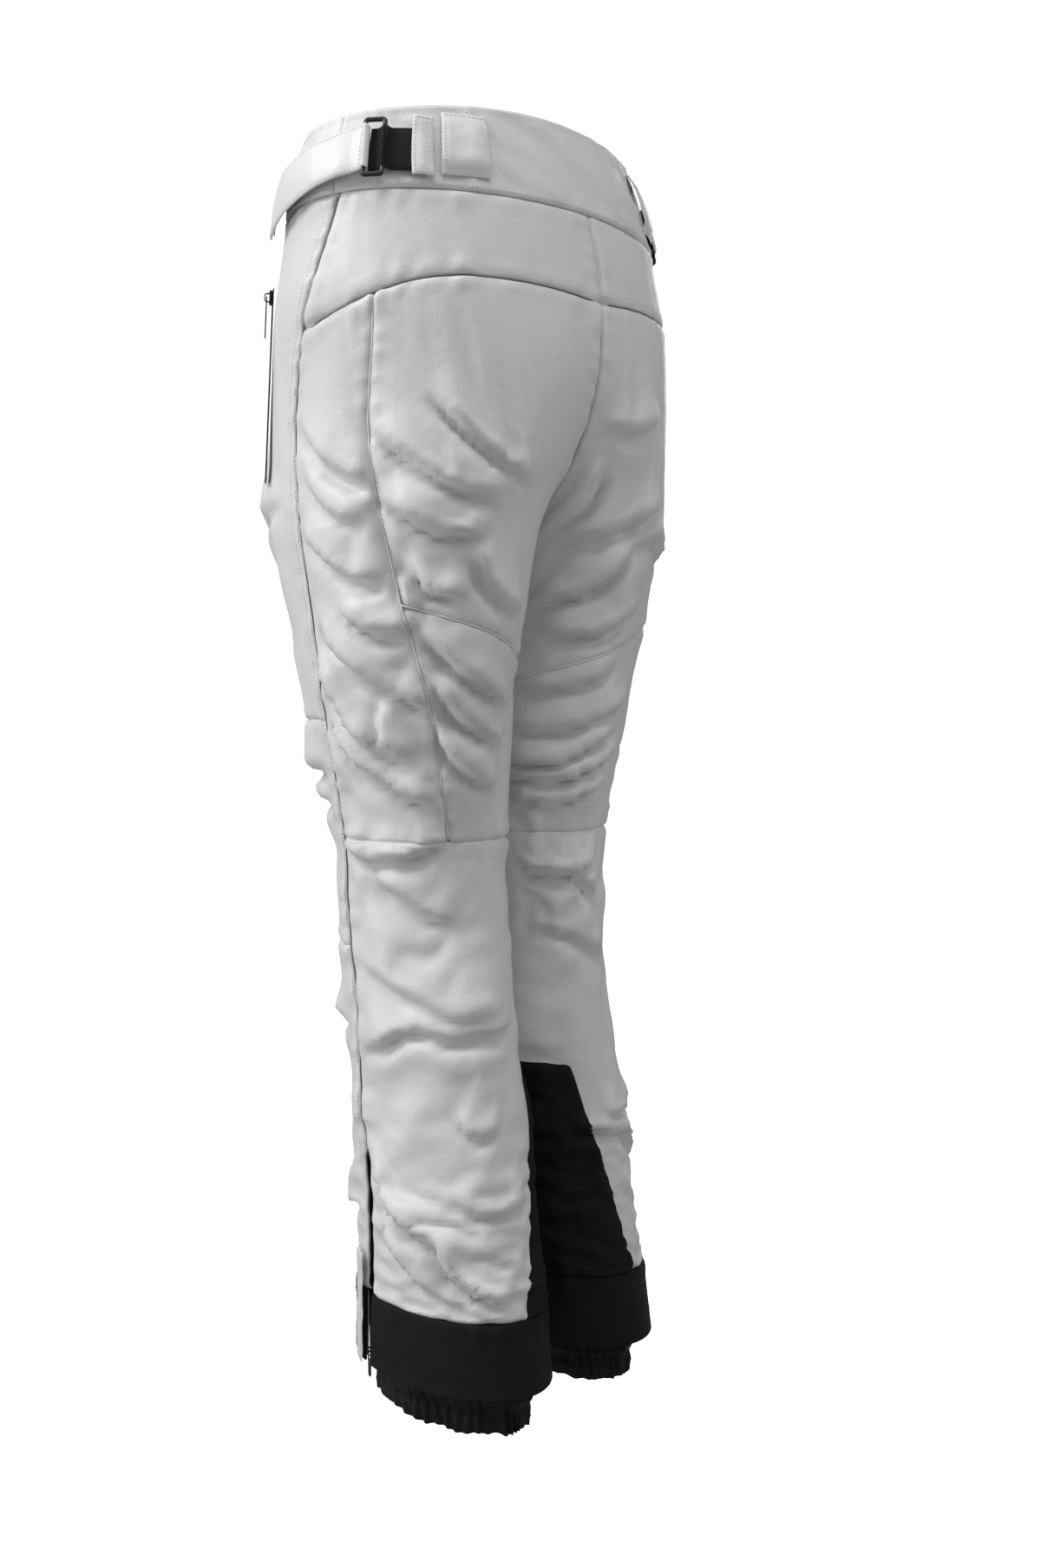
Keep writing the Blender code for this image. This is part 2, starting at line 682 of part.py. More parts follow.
def pocket_line():
    """Down the front of the hip, on top of the front panel."""
    high, low = -0.118, -0.280
    top, bottom = skin(-0.62, high, 0.0040), skin(-0.66, low, 0.0040)
    return ZipLine(top, bottom, outward(-0.64, 0.5 * (high + low)))


def fly_line():
    """Down the centre front, behind the slot's edges."""
    high, low = WAIST_SEAM - 0.003, FLY_BOTTOM + 0.002
    top = Vector((0, skin(-inner_limit(high), high).y + 0.0050, high))
    bottom = Vector((0, skin(-inner_limit(low), low).y + 0.0050, low))
    return ZipLine(top, bottom, Vector((0, -1, 0)))


PLACE_AT_END = SLIDER_LENGTH / 2 + 0.0015


def zips():
    both_sides(lambda side, word: zip_set("ankle", side, word, ankle_line(), 0.0105, PLACE_AT_END, -1, 0.020))
    both_sides(lambda side, word: zip_set("pocket", side, word, pocket_line(), 0.0060, PLACE_AT_END, 1, 0.034))
    zip_set("fly", 1, "", fly_line(), 0.0070, PLACE_AT_END, 1, 0.020)


# ---------------------------------------------------------------- waist closure
CLOSURE_FROM, CLOSURE_TO = -math.pi / 2 - 0.11, -math.pi / 2 + 0.22
SNAP_ANGLE = -math.pi / 2 + 0.12
SNAP_Z = -0.030


def disc(name, slot, out_from, out_to, radius):
    """A round snap part on the waistband, a little domed on its outer face."""
    shape = bmesh.new()
    around = 16
    centre = on_waist(SNAP_ANGLE, SNAP_Z, 0, SNAP_Z)
    normal = (on_waist(SNAP_ANGLE, SNAP_Z, 1, SNAP_Z) - centre).normalized()
    side = normal.orthogonal().normalized()
    other = normal.cross(side)
    rings = []
    for out, size in ((out_from, radius), (out_to - 0.0005, radius), (out_to, radius * 0.75)):
        ring = []
        for i in range(around):
            turn = 2 * math.pi * i / around
            spread = side * math.cos(turn) + other * math.sin(turn)
            ring.append(shape.verts.new(centre + normal * out + spread * size))
        rings.append(ring)
    for low, high in zip(rings, rings[1:]):
        for i in range(around):
            n = (i + 1) % around
            shape.faces.new([low[i], low[n], high[n], high[i]])
    shape.faces.new(rings[0])
    shape.faces.new(rings[-1])
    return finish(name, shape, slot)


def closure():
    """The tab that closes the waist over the fly, with its snap cap and the stud under it."""
    tab = strip("closure_tab", 1, "shell_fabric", CLOSURE_FROM, CLOSURE_TO,
                -0.050, -0.010, 0.0072, 0.0026, 6)
    cap = disc("snap_cap", "snap_metal", 0.0077, 0.0102, 0.0075)
    disc("snap_stud", "snap_metal", 0.0000, 0.0030, 0.0060)
    pivot = on_waist(CLOSURE_FROM, SNAP_Z, 0.0059, SNAP_Z)
    for thing in (tab, cap):
        hinge_at(thing, pivot)


# ---------------------------------------------------------------- the whole object
def build():
    clear_scene()
    waistband()
    both_sides(leg_panels)
    both_sides(cuff)
    both_sides(ankle_gusset)
    for place in ("back", "front"):
        both_sides(lambda side, word, place=place: belt_loop(side, word, place))
    both_sides(adjuster)
    zips()
    closure()


build()
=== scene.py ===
"""Ski pants: the visual model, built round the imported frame.

The shell is one simulated cloth surface per leg. Every panel, seam, stitch and zip is laid on it.
Angle 0 is a leg's outer side, positive is towards the back, and pi is the inseam.
"""
import math

import bmesh
import bpy
import numpy as np
from mathutils import Matrix, Vector


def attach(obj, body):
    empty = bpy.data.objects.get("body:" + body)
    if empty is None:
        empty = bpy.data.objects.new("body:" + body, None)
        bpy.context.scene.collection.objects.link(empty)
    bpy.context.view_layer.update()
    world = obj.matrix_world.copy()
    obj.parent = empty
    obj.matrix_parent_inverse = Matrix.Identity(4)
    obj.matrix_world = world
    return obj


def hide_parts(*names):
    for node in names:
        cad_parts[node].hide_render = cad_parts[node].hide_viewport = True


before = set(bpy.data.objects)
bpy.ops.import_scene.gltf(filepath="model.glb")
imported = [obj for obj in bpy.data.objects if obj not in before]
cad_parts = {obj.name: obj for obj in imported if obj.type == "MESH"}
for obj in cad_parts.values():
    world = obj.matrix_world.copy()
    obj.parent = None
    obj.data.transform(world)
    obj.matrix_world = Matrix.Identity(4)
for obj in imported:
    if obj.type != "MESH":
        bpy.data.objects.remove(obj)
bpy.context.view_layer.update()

PI = math.pi
BODY = "pants"
MM = 0.001
SIDES = ((1, "left"), (-1, "right"))

# ---------------------------------------------------------------- sizes, as in the frame
WAIST_TOP_BACK, WAIST_SEAM = 0.012, -0.066
KNEE_SEAM, KNEE_PATCH_TOP, KNEE_PATCH_BOTTOM = -0.570, -0.475, -0.660
GUARD_TOP, BAND_TOP, HEM = -0.766, -0.949, -1.006
GAITER_TOP, GAITER_BOTTOM = -0.930, -1.041
ANKLE_ZIP_TOP, FLY_BOTTOM, SLOT_HALF = -0.845, -0.232, 0.0054

# Level ovals of the left side: height, centre x, centre y, half width, depth to the front, depth to the back.
STATIONS = np.array([
    (-1.045, 0.0660, 0.036, 0.0635, 0.097, 0.099),
    (-0.960, 0.0640, 0.028, 0.0620, 0.089, 0.096),
    (-0.850, 0.0620, 0.016, 0.0595, 0.082, 0.092),
    (-0.720, 0.0600, 0.002, 0.0580, 0.080, 0.087),
    (-0.600, 0.0610, -0.006, 0.0590, 0.086, 0.085),
    (-0.500, 0.0690, -0.006, 0.0665, 0.100, 0.094),
    (-0.400, 0.0790, -0.004, 0.0770, 0.121, 0.110),
    (-0.320, 0.0840, -0.004, 0.0900, 0.138, 0.126),
    (-0.260, 0.0640, -0.002, 0.1150, 0.148, 0.138),
    (-0.200, 0.0340, 0.000, 0.1510, 0.152, 0.144),
    (-0.130, 0.0080, 0.002, 0.1820, 0.148, 0.139),
    (-0.060, 0.0000, 0.002, 0.1840, 0.133, 0.125),
    (0.000, 0.0000, 0.000, 0.1690, 0.117, 0.109),
    (0.030, 0.0000, 0.000, 0.1620, 0.110, 0.101),
])


# ---------------------------------------------------------------- curves and noise
def curve(rows, x):
    """Smooth curves through the rows, read at x. The first column is the position."""
    rows = np.asarray(rows, float)
    x = np.asarray(x, float)
    at, values = rows[:, 0], rows[:, 1:]
    rise = np.diff(values, axis=0) / np.diff(at)[:, None]
    slopes = np.zeros_like(values)
    slopes[0], slopes[-1] = rise[0], rise[-1]
    low, high = rise[:-1], rise[1:]
    same = low * high > 0
    slopes[1:-1] = np.where(same, 2 * low * high / np.where(same, low + high, 1), 0)
    k = np.clip(np.searchsorted(at, x) - 1, 0, len(at) - 2)
    step = (at[k + 1] - at[k])[..., None]
    t = np.clip((x - at[k])[..., None] / step, 0, 1)
    return ((2 * t**3 - 3 * t**2 + 1) * values[k] + (t**3 - 2 * t**2 + t) * slopes[k] * step
            + (-2 * t**3 + 3 * t**2) * values[k + 1] + (t**3 - t**2) * slopes[k + 1] * step)


def ramp(x, *points):
    return curve(points, x)[..., 0]


def hashed(i, j, k, seed):
    h = (i * 374761393 + j * 668265263 + k * 2147483647 + seed * 1274126177) & 0xFFFFFFFF
    h = ((h ^ (h >> 13)) * 1103515245) & 0xFFFFFFFF
    h = ((h ^ (h >> 16)) * 2246822519) & 0xFFFFFFFF
    return ((h ^ (h >> 15)) & 0xFFFFFF) / 0x7FFFFF - 1.0


def noise3(x, y, z, seed=0):
    """Smooth seeded noise from -1 to 1, for arrays."""
    x, y, z = np.broadcast_arrays(np.asarray(x, float), y, z)
    corner = [np.floor(v).astype(np.int64) for v in (x, y, z)]
    part = [v - c for v, c in zip((x, y, z), corner)]
    fade = [f * f * f * (f * (f * 6 - 15) + 10) for f in part]
    total = 0
    for a in (0, 1):
        for b in (0, 1):
            for c in (0, 1):
                weight = 1
                for bit, f in zip((a, b, c), fade):
                    weight = weight * (f if bit else 1 - f)
                total = total + weight * hashed(corner[0] + a, corner[1] + b, corner[2] + c, seed)
    return total


def bell(x, width):
    return np.exp(-(np.asarray(x) / width) ** 2)


def step_up(x, low, high):
    t = np.clip((np.asarray(x) - low) / (high - low), 0, 1)
    return t * t * (3 - 2 * t)


def unit(vectors):
    return vectors / np.maximum(np.linalg.norm(vectors, axis=-1, keepdims=True), 1e-12)


# ---------------------------------------------------------------- the parametric body
def oval(z):
    found = curve(STATIONS, z)
    return [found[..., c] for c in range(5)]


def inner_limit(z):
    cx, _, rx, _, _ = oval(z)
    ratio = np.clip(-cx / rx, -1, 1)
    return np.where(cx >= rx, PI, np.arccos(ratio))


def body_point(angle, z):
    """Points of the left side, as an array whose last axis is x, y, z."""
    cx, cy, rx, front, back = oval(z)
    depth = np.where(np.sin(angle) > 0, back, front)
    return np.stack([cx + rx * np.cos(angle), cy + depth * np.sin(angle), z + 0 * angle], -1)


def body_out(angle, z):
    _, _, rx, front, back = oval(z)
    depth = np.where(np.sin(angle) > 0, back, front)
    return unit(np.stack([np.cos(angle) / rx, np.sin(angle) / depth, 0 * angle], -1))


def speed(angle, z):
    """Metres along the level outline for each radian."""
    _, _, rx, front, back = oval(z)
    depth = np.where(np.sin(angle) > 0, back, front)
    return np.maximum(np.hypot(rx * np.sin(angle), depth * np.cos(angle)), 0.8 * np.minimum(rx, depth))


# ---------------------------------------------------------------- seams
def side_seam(z):
    return ramp(z, (-1.00, -0.42), (-0.84, -0.35), (-0.41, -0.29), (-0.25, -0.22), (-0.06, 0.20))


def back_seam(z):
    return ramp(z, (-0.57, 0.99), (-0.50, 0.91), (-0.38, 0.61), (-0.32, 0.49), (-0.24, 0.37), (-0.147, 0.42))


def guard_back(z):
    return ramp(z, (BAND_TOP, 1.50), (GUARD_TOP, 2.12))


def guard_front(z):
    return -ramp(z, (BAND_TOP, 1.90), (GUARD_TOP, 2.30))


def yoke_seam(angle):
    return ramp(angle, (0.0, -0.168), (0.44, -0.1475), (0.68, -0.1378), (0.92, -0.1342), (1.20, -0.1352),
                (PI / 2, -0.1395))


def thigh_seam(angle):
    return ramp(angle, (0.61, -0.384), (2.74, -0.440))


def centre_seam(z):
    return inner_limit(z)


def front_centre(z):
    return -inner_limit(z)


def flat(value):
    return lambda x: np.full(np.shape(x), float(value))


def plus(seam, metres):
    """A seam moved sideways along the cloth."""
    return lambda z: seam(z) + metres / speed(seam(z), z)


# ---------------------------------------------------------------- the draped cloth
ACROSS, ROWS = 84, 148      # cells round one side of the body, and rows from the hem to the waist seam
TOP_Z = WAIST_SEAM + 0.006
GRID_Z = np.linspace(HEM, TOP_Z, ROWS + 1)
GRID_ANGLE = inner_limit(GRID_Z)[:, None] * np.linspace(-1, 1, ACROSS + 1)[None, :]
GRID_FULL_Z = np.repeat(GRID_Z[:, None], ACROSS + 1, axis=1)
SIM_FRAMES = 36
FORM_INSET = 0.0075         # how far the form of the body lies inside the cloth's own start
MOST_DRAPE = 0.022          # the furthest that the settled cloth may stand from the body
FOLD_PRESS = 0.75
APART = inner_limit(GRID_FULL_Z) >= PI - 1e-6      # where the side is a whole leg, closed at the inseam

# Folds, listed one by one: start and end as (angle, z), then depth and half width in millimetres.
# A fold is a narrow valley under a crest that falls away slowly on its upper side. Left leg, then right leg.
FOLDS = {
    1: [
        ((0.74, -0.231), (1.62, -0.292), 5, 6), ((0.40, -0.252), (1.36, -0.311), 5, 7),
        ((0.52, -0.308), (1.32, -0.333), 6, 6),
        ((0.68, -0.352), (1.12, -0.376), 6, 6), ((1.15, -0.345), (1.75, -0.395), 5, 7),
        ((-0.16, -0.248), (0.44, -0.296), 5, 9), ((-0.12, -0.285), (0.36, -0.325), 4, 8),
        ((-0.19, -0.330), (0.49, -0.374), 6, 8), ((0.14, -0.392), (0.68, -0.408), 7, 7),
        ((-0.21, -0.399), (0.84, -0.470), 7, 8), ((-0.24, -0.432), (0.56, -0.512), 6, 7),
        ((-0.19, -0.472), (0.82, -0.548), 7, 7), ((0.35, -0.462), (0.60, -0.503), 5, 5),
        ((0.77, -0.407), (1.70, -0.466), 6, 7), ((0.85, -0.447), (1.60, -0.497), 6, 7),
        ((0.87, -0.485), (1.55, -0.533), 5, 7), ((-0.23, -0.578), (0.91, -0.579), 7, 8),
        ((0.10, -0.596), (0.94, -0.640), 5, 9), ((-0.15, -0.681), (1.60, -0.712), 3, 10),
        ((-0.20, -0.742), (1.75, -0.727), 5, 7), ((0.85, -0.795), (1.30, -0.805), 3, 7),
        ((-0.21, -0.835), (0.49, -0.894), 7, 7), ((0.45, -0.886), (1.15, -0.940), 6, 7),
        ((-0.10, -0.865), (0.40, -0.925), 4, 7), ((0.80, -0.857), (1.60, -0.862), 3, 8),
        ((-1.30, -0.330), (-0.50, -0.300), 6, 10), ((-2.40, -0.320), (-1.30, -0.285), 8, 9),
        ((-2.30, -0.365), (-1.20, -0.345), 7, 9), ((-1.90, -0.500), (-0.60, -0.520), 6, 9),
        ((-2.00, -0.560), (-0.70, -0.545), 6, 9), ((-1.80, -0.700), (-0.60, -0.730), 5, 9),
        ((-2.0, -0.860), (-0.70, -0.885), 5, 9),
    ],
    -1: [
        ((1.25, -0.225), (1.90, -0.236), 4, 8), ((1.98, -0.270), (2.48, -0.315), 6, 7),
        ((1.34, -0.300), (2.60, -0.325), 6, 8), ((1.75, -0.338), (2.60, -0.377), 7, 7),
        ((1.00, -0.345), (1.80, -0.335), 5, 8), ((1.55, -0.380), (2.45, -0.408), 6, 7),
        ((1.76, -0.434), (2.75, -0.451), 4, 6), ((1.40, -0.460), (2.75, -0.480), 5, 6),
        ((1.60, -0.486), (2.80, -0.506), 6, 5), ((1.30, -0.500), (2.80, -0.524), 6, 5),
        ((1.50, -0.530), (2.75, -0.541), 5, 5), ((1.50, -0.597), (2.60, -0.600), 4, 7),
        ((1.55, -0.632), (2.50, -0.604), 6, 8), ((1.40, -0.690), (2.50, -0.655), 4, 9),
        ((1.00, -0.800), (1.70, -0.812), 4, 8), ((1.10, -0.862), (2.10, -0.820), 5, 8),
        ((-0.20, -0.330), (0.60, -0.300), 6, 9), ((-0.30, -0.430), (0.70, -0.470), 6, 9),
        ((-0.30, -0.540), (0.80, -0.520), 6, 8), ((-0.20, -0.880), (0.60, -0.905), 5, 8),
        ((-1.40, -0.320), (-0.50, -0.345), 6, 10), ((-2.40, -0.330), (-1.20, -0.290), 8, 9),
        ((-2.20, -0.372), (-1.10, -0.350), 7, 9), ((-1.95, -0.510), (-0.60, -0.500), 6, 9),
        ((-2.10, -0.565), (-0.70, -0.560), 6, 9), ((-1.80, -0.715), (-0.60, -0.700), 5, 9),
        ((-2.0, -0.880), (-0.70, -0.860), 5, 9),
    ],
}


def fold_height(side, angle, z):
    """How far the listed folds lift the cloth, in metres."""
    u = angle * speed(angle, z)
    bend = 0.006 * noise3(angle * 2.2, z * 16, side * 3.1, 5)
    total = np.zeros_like(u)
    for (a0, z0), (a1, z1), depth, half in FOLDS[side]:
        middle = 0.5 * (a0 + a1)
        across = float(speed(middle, 0.5 * (z0 + z1)))
        du, dv = (a1 - a0) * across, z1 - z0
        length = math.hypot(du, dv)
        x, y = (angle - a0) * across, z - z0
        along = (x * du + y * dv) / length**2
        off = (y * du - x * dv) / length * (1 if du > 0 else -1)
        off = off + bend - 0.010 * np.sin(PI * np.clip(along, 0, 1)) * math.copysign(1, dv * du)
        fade = step_up(along, -0.12, 0.22) * step_up(along, 1.12, 0.78)
        wide = half * MM
        past = off - 1.05 * wide
        slope = np.exp(-(np.abs(past) / (2.6 * wide)) ** 1.5)
        crest = np.where(past > 0, slope, bell(past, 0.62 * wide))
        valley = 0.75 * bell(off + 0.1 * wide, 0.60 * wide)
        shape = crest - valley + 0.25 * bell(off + 2.2 * wide, 1.3 * wide)
        total = total + depth * MM * shape * fade
    return total


def loose_wrinkles(side, angle, z):
    """Smaller seeded wrinkles that run mostly across the leg, in metres."""
    turn = ramp(z, (-1.0, 0.35), (-0.75, 0.10), (-0.55, -0.15), (-0.35, 0.55), (-0.10, 0.20))
    u = angle * 0.10
    along = u * np.cos(turn) + z * np.sin(turn) * np.sign(u + 1e-6)
    across = -u * np.sin(turn) * np.sign(u + 1e-6) + z * np.cos(turn)
    warp = 0.012 * noise3(u * 14, z * 14, side * 7.7, 11)
    broad = noise3(along * 11, (across + warp) * 30, side * 5.3, 21)
    fine = noise3(along * 24, (across + warp) * 66, side * 9.1, 31)
    calm = ramp(z, (-0.95, 0.5), (-0.70, 0.75), (-0.52, 1.1), (-0.35, 1.0), (-0.20, 0.55), (-0.07, 0.25))
    return calm * (0.0034 * broad + 0.0012 * fine)


def mirrored(points, side):
    return points * np.array([side, 1, 1])


def grid_points(side, out=0.0):
    base = body_point(GRID_ANGLE, GRID_FULL_Z)
    return mirrored(base + body_out(GRID_ANGLE, GRID_FULL_Z) * np.asarray(out)[..., None], side)


def start_shape(side):
    """The cloth before it settles: the body with its folds and wrinkles."""
    calm = step_up(GRID_FULL_Z, TOP_Z, TOP_Z - 0.05) * step_up(GRID_FULL_Z, BAND_TOP - 0.015, BAND_TOP + 0.03)
    middle = step_up(inner_limit(GRID_FULL_Z) - np.abs(GRID_ANGLE), 0.0, 0.25)
    joined = np.where(APART, 1.0, middle)
    height = fold_height(side, GRID_ANGLE, GRID_FULL_Z) + loose_wrinkles(side, GRID_ANGLE, GRID_FULL_Z)
    wrap = 0.5 * (height[:, :1] + height[:, -1:])
    ends = step_up(np.abs(GRID_ANGLE), 2.75, PI)
    height = np.where(APART, height * (1 - ends) + wrap * ends, height)
    return grid_points(side, height * calm * joined)


def weld_index():
    """One vertex number for every grid place: the sides share the centre seams and each leg closes."""
    number = {}
    index = {side: np.zeros((ROWS + 1, ACROSS + 1), int) for side in (1, -1)}
    for r in range(ROWS + 1):
        apart = APART[r, 0]
        for side in (1, -1):
            for i in range(ACROSS + 1):
                key = (side, r, i)
                if apart and i == ACROSS:
                    key = (side, r, 0)
                if not apart and i in (0, ACROSS):
                    key = (1, r, i)
                index[side][r, i] = number.setdefault(key, len(number))
    return index, len(number)


def settle(start):
    """Runs the cloth over the body, with a little more cloth than body between waist and hem."""
    index, count = weld_index()
    places, rest = np.zeros((count, 3)), np.zeros((count, 3))
    extra = ramp(GRID_Z, (-1.0, 0.010), (-0.90, 0.030), (-0.72, 0.015), (-0.56, 0.050), (-0.46, 0.045),
                 (-0.34, 0.050), (-0.20, 0.020), (-0.08, 0.004))
    row_heights = (1 + extra[::-1])[:-1] * np.diff(GRID_Z)[::-1]
    longer = TOP_Z - np.concatenate([np.cumsum(row_heights)[::-1], [0.0]])
    long_z = np.repeat(longer[:, None], ACROSS + 1, axis=1)
    faces = []
    for side in (1, -1):
        stretched = grid_points(side) * np.array([1.012, 1.012, 1.0])
        stretched[..., 2] = long_z
        places[index[side].ravel()] = start[side].reshape(-1, 3)
        rest[index[side].ravel()] = stretched.reshape(-1, 3)
        n = index[side]
        for r in range(ROWS):
            for i in range(ACROSS):
                quad = [n[r, i], n[r, i + 1], n[r + 1, i + 1], n[r + 1, i]]
                faces.append(quad if side > 0 else quad[::-1])
    cloth = plain_object("cloth_trial", places, faces)
    cloth.shape_key_add(name="Basis")
    key = cloth.shape_key_add(name="rest")
    key.data.foreach_set("co", rest.ravel())
    pins = cloth.vertex_groups.new(name="pins")
    for side in (1, -1):
        for r in range(ROWS + 1):
            held = float(step_up(GRID_Z[r], TOP_Z - 0.03, TOP_Z - 0.008))
            held = max(held, float(step_up(GRID_Z[r], BAND_TOP + 0.012, BAND_TOP - 0.012)))
            if held > 0:
                pins.add([int(v) for v in index[side][r]], held, "REPLACE")
    body = np.zeros((count, 3))
    for side in (1, -1):
        body[index[side].ravel()] = grid_points(side, np.full_like(GRID_FULL_Z, -FORM_INSET)).reshape(-1, 3)
    form = plain_object("body_form", body, faces)
    form.modifiers.new("Collision", "COLLISION")
    form.collision.thickness_outer = 0.003
    form.collision.cloth_friction = 12
    made = cloth.modifiers.new("Cloth", "CLOTH")
    use = made.settings
    use.quality = 6
    use.mass = 0.25
    use.tension_stiffness = 30
    use.compression_stiffness = 30
    use.shear_stiffness = 14
    use.bending_model = "ANGULAR"
    use.bending_stiffness = 6
    use.tension_damping = use.compression_damping = use.shear_damping = 12
    use.bending_damping = 1.5
    use.air_damping = 3
    use.vertex_group_mass = "pins"
    use.pin_stiffness = 4
    use.rest_shape_key = key
    use.effector_weights.gravity = 0.5
    made.collision_settings.use_collision = True
    made.collision_settings.distance_min = 0.002
    made.collision_settings.collision_quality = 3
    made.point_cache.frame_start = 1
    made.point_cache.frame_end = SIM_FRAMES
    scene = bpy.context.scene
    scene.frame_start, scene.frame_end = 1, SIM_FRAMES
    for at in range(1, SIM_FRAMES + 1):
        scene.frame_set(at)
    shaped = cloth.evaluated_get(bpy.context.evaluated_depsgraph_get()).to_mesh()
    settled = np.empty(count * 3)
    shaped.vertices.foreach_get("co", settled)
    settled = settled.reshape(-1, 3)
    for thing in (cloth, form):
        bpy.data.objects.remove(thing)
    scene.frame_set(1)
    return {side: settled[index[side]] for side in (1, -1)}


def plain_object(name, points, faces):
    mesh = bpy.data.meshes.new(name)
    mesh.from_pydata([tuple(p) for p in points], [], [tuple(int(v) for v in f) for f in faces])
    mesh.update()
    made = bpy.data.objects.new(name, mesh)
    bpy.context.scene.collection.objects.link(made)
    return made


def within(shape, side, most):
    """Keeps the settled cloth within a distance of the body, and off the centre plane."""
    base = grid_points(side)
    move = shape - base
    far = np.linalg.norm(move, axis=-1, keepdims=True)
    move = move * np.minimum(1, most / np.maximum(far, 1e-9))
    shape = base + move
    clear = np.where(APART, 0.0012, 0.0) * side
    shape[..., 0] = np.where(side * shape[..., 0] < np.abs(clear), clear, shape[..., 0])
    return shape


START = {side: start_shape(side) for side in (1, -1)}
SETTLED = {side: within(s, side, MOST_DRAPE) for side, s in settle(START).items()}


def grid_normals(shape, side):
    around = np.gradient(shape, axis=1)
    upward = np.gradient(shape, axis=0)
    return unit(np.cross(around, upward) * side)


def pressed(side):
    """The settled cloth, flatter beside the zips and at the yoke, with its placed folds pressed in again."""
    across = speed(GRID_ANGLE, GRID_FULL_Z)
    ankle = bell((GRID_ANGLE - side_seam(GRID_FULL_Z)) * across, 0.018)
    ankle = ankle * step_up(GRID_FULL_Z, ANKLE_ZIP_TOP + 0.05, ANKLE_ZIP_TOP + 0.02)
    pocket_angle = ramp(GRID_FULL_Z, (-0.280, -0.66), (-0.118, -0.62))
    pocket = bell((GRID_ANGLE - pocket_angle) * across, 0.020)
    pocket = pocket * step_up(GRID_FULL_Z, -0.310, -0.288) * step_up(GRID_FULL_Z, -0.090, -0.112)
    beside_zip = np.maximum(ankle, pocket)
    taut = np.maximum(0.92 * beside_zip, 0.75 * step_up(GRID_FULL_Z, -0.225, -0.150))
    shape = SETTLED[side] + (grid_points(side) - SETTLED[side]) * taut[..., None]
    n = grid_normals(shape, side)
    calm = step_up(GRID_FULL_Z, TOP_Z, TOP_Z - 0.05) * step_up(GRID_FULL_Z, BAND_TOP - 0.01, BAND_TOP + 0.03)
    edge = inner_limit(GRID_FULL_Z) - np.abs(GRID_ANGLE)
    lift = FOLD_PRESS * fold_height(side, GRID_ANGLE, GRID_FULL_Z) * calm * step_up(edge, 0.0, 0.3)
    return shape + n * (lift * (1 - beside_zip))[..., None]


SHAPE = {side: pressed(side) for side in (1, -1)}
NORMAL = {side: grid_normals(SHAPE[side], side) for side in (1, -1)}


def cubic(t):
    return np.stack([-0.5 * t + t**2 - 0.5 * t**3, 1 - 2.5 * t**2 + 1.5 * t**3,
                     0.5 * t + 2 * t**2 - 1.5 * t**3, -0.5 * t**2 + 0.5 * t**3], -1)


def read_grid(values, angle, z):
    """The draped grid, read smoothly at any angle and height."""
    limit = inner_limit(z)
    wrapped = np.where((limit >= PI - 1e-6) & (angle > PI), angle - 2 * PI, angle)
    c = np.clip((wrapped / limit + 1) / 2 * ACROSS, 0, ACROSS)
    r = np.clip((z - HEM) / (TOP_Z - HEM) * ROWS, 0, ROWS)
    ci = np.clip(np.floor(c).astype(int), 0, ACROSS - 1)
    ri = np.clip(np.floor(r).astype(int), 0, ROWS - 1)
    wc, wr = cubic(c - ci), cubic(r - ri)
    apart = limit >= PI - 1e-6
    total = 0
    for a in range(4):
        rows = np.clip(ri + a - 1, 0, ROWS)
        for b in range(4):
            column = ci + b - 1
            around = np.where(apart, np.mod(column, ACROSS), np.clip(column, 0, ACROSS))
            total = total + values[rows, around] * (wr[..., a] * wc[..., b])[..., None]
    return total


def cloth(side, angle, z, out=0.0):
    """Points on the draped cloth, moved out of it by a distance."""
    n = unit(read_grid(NORMAL[side], angle, z))
    return read_grid(SHAPE[side], angle, z) + n * np.asarray(out)[..., None]


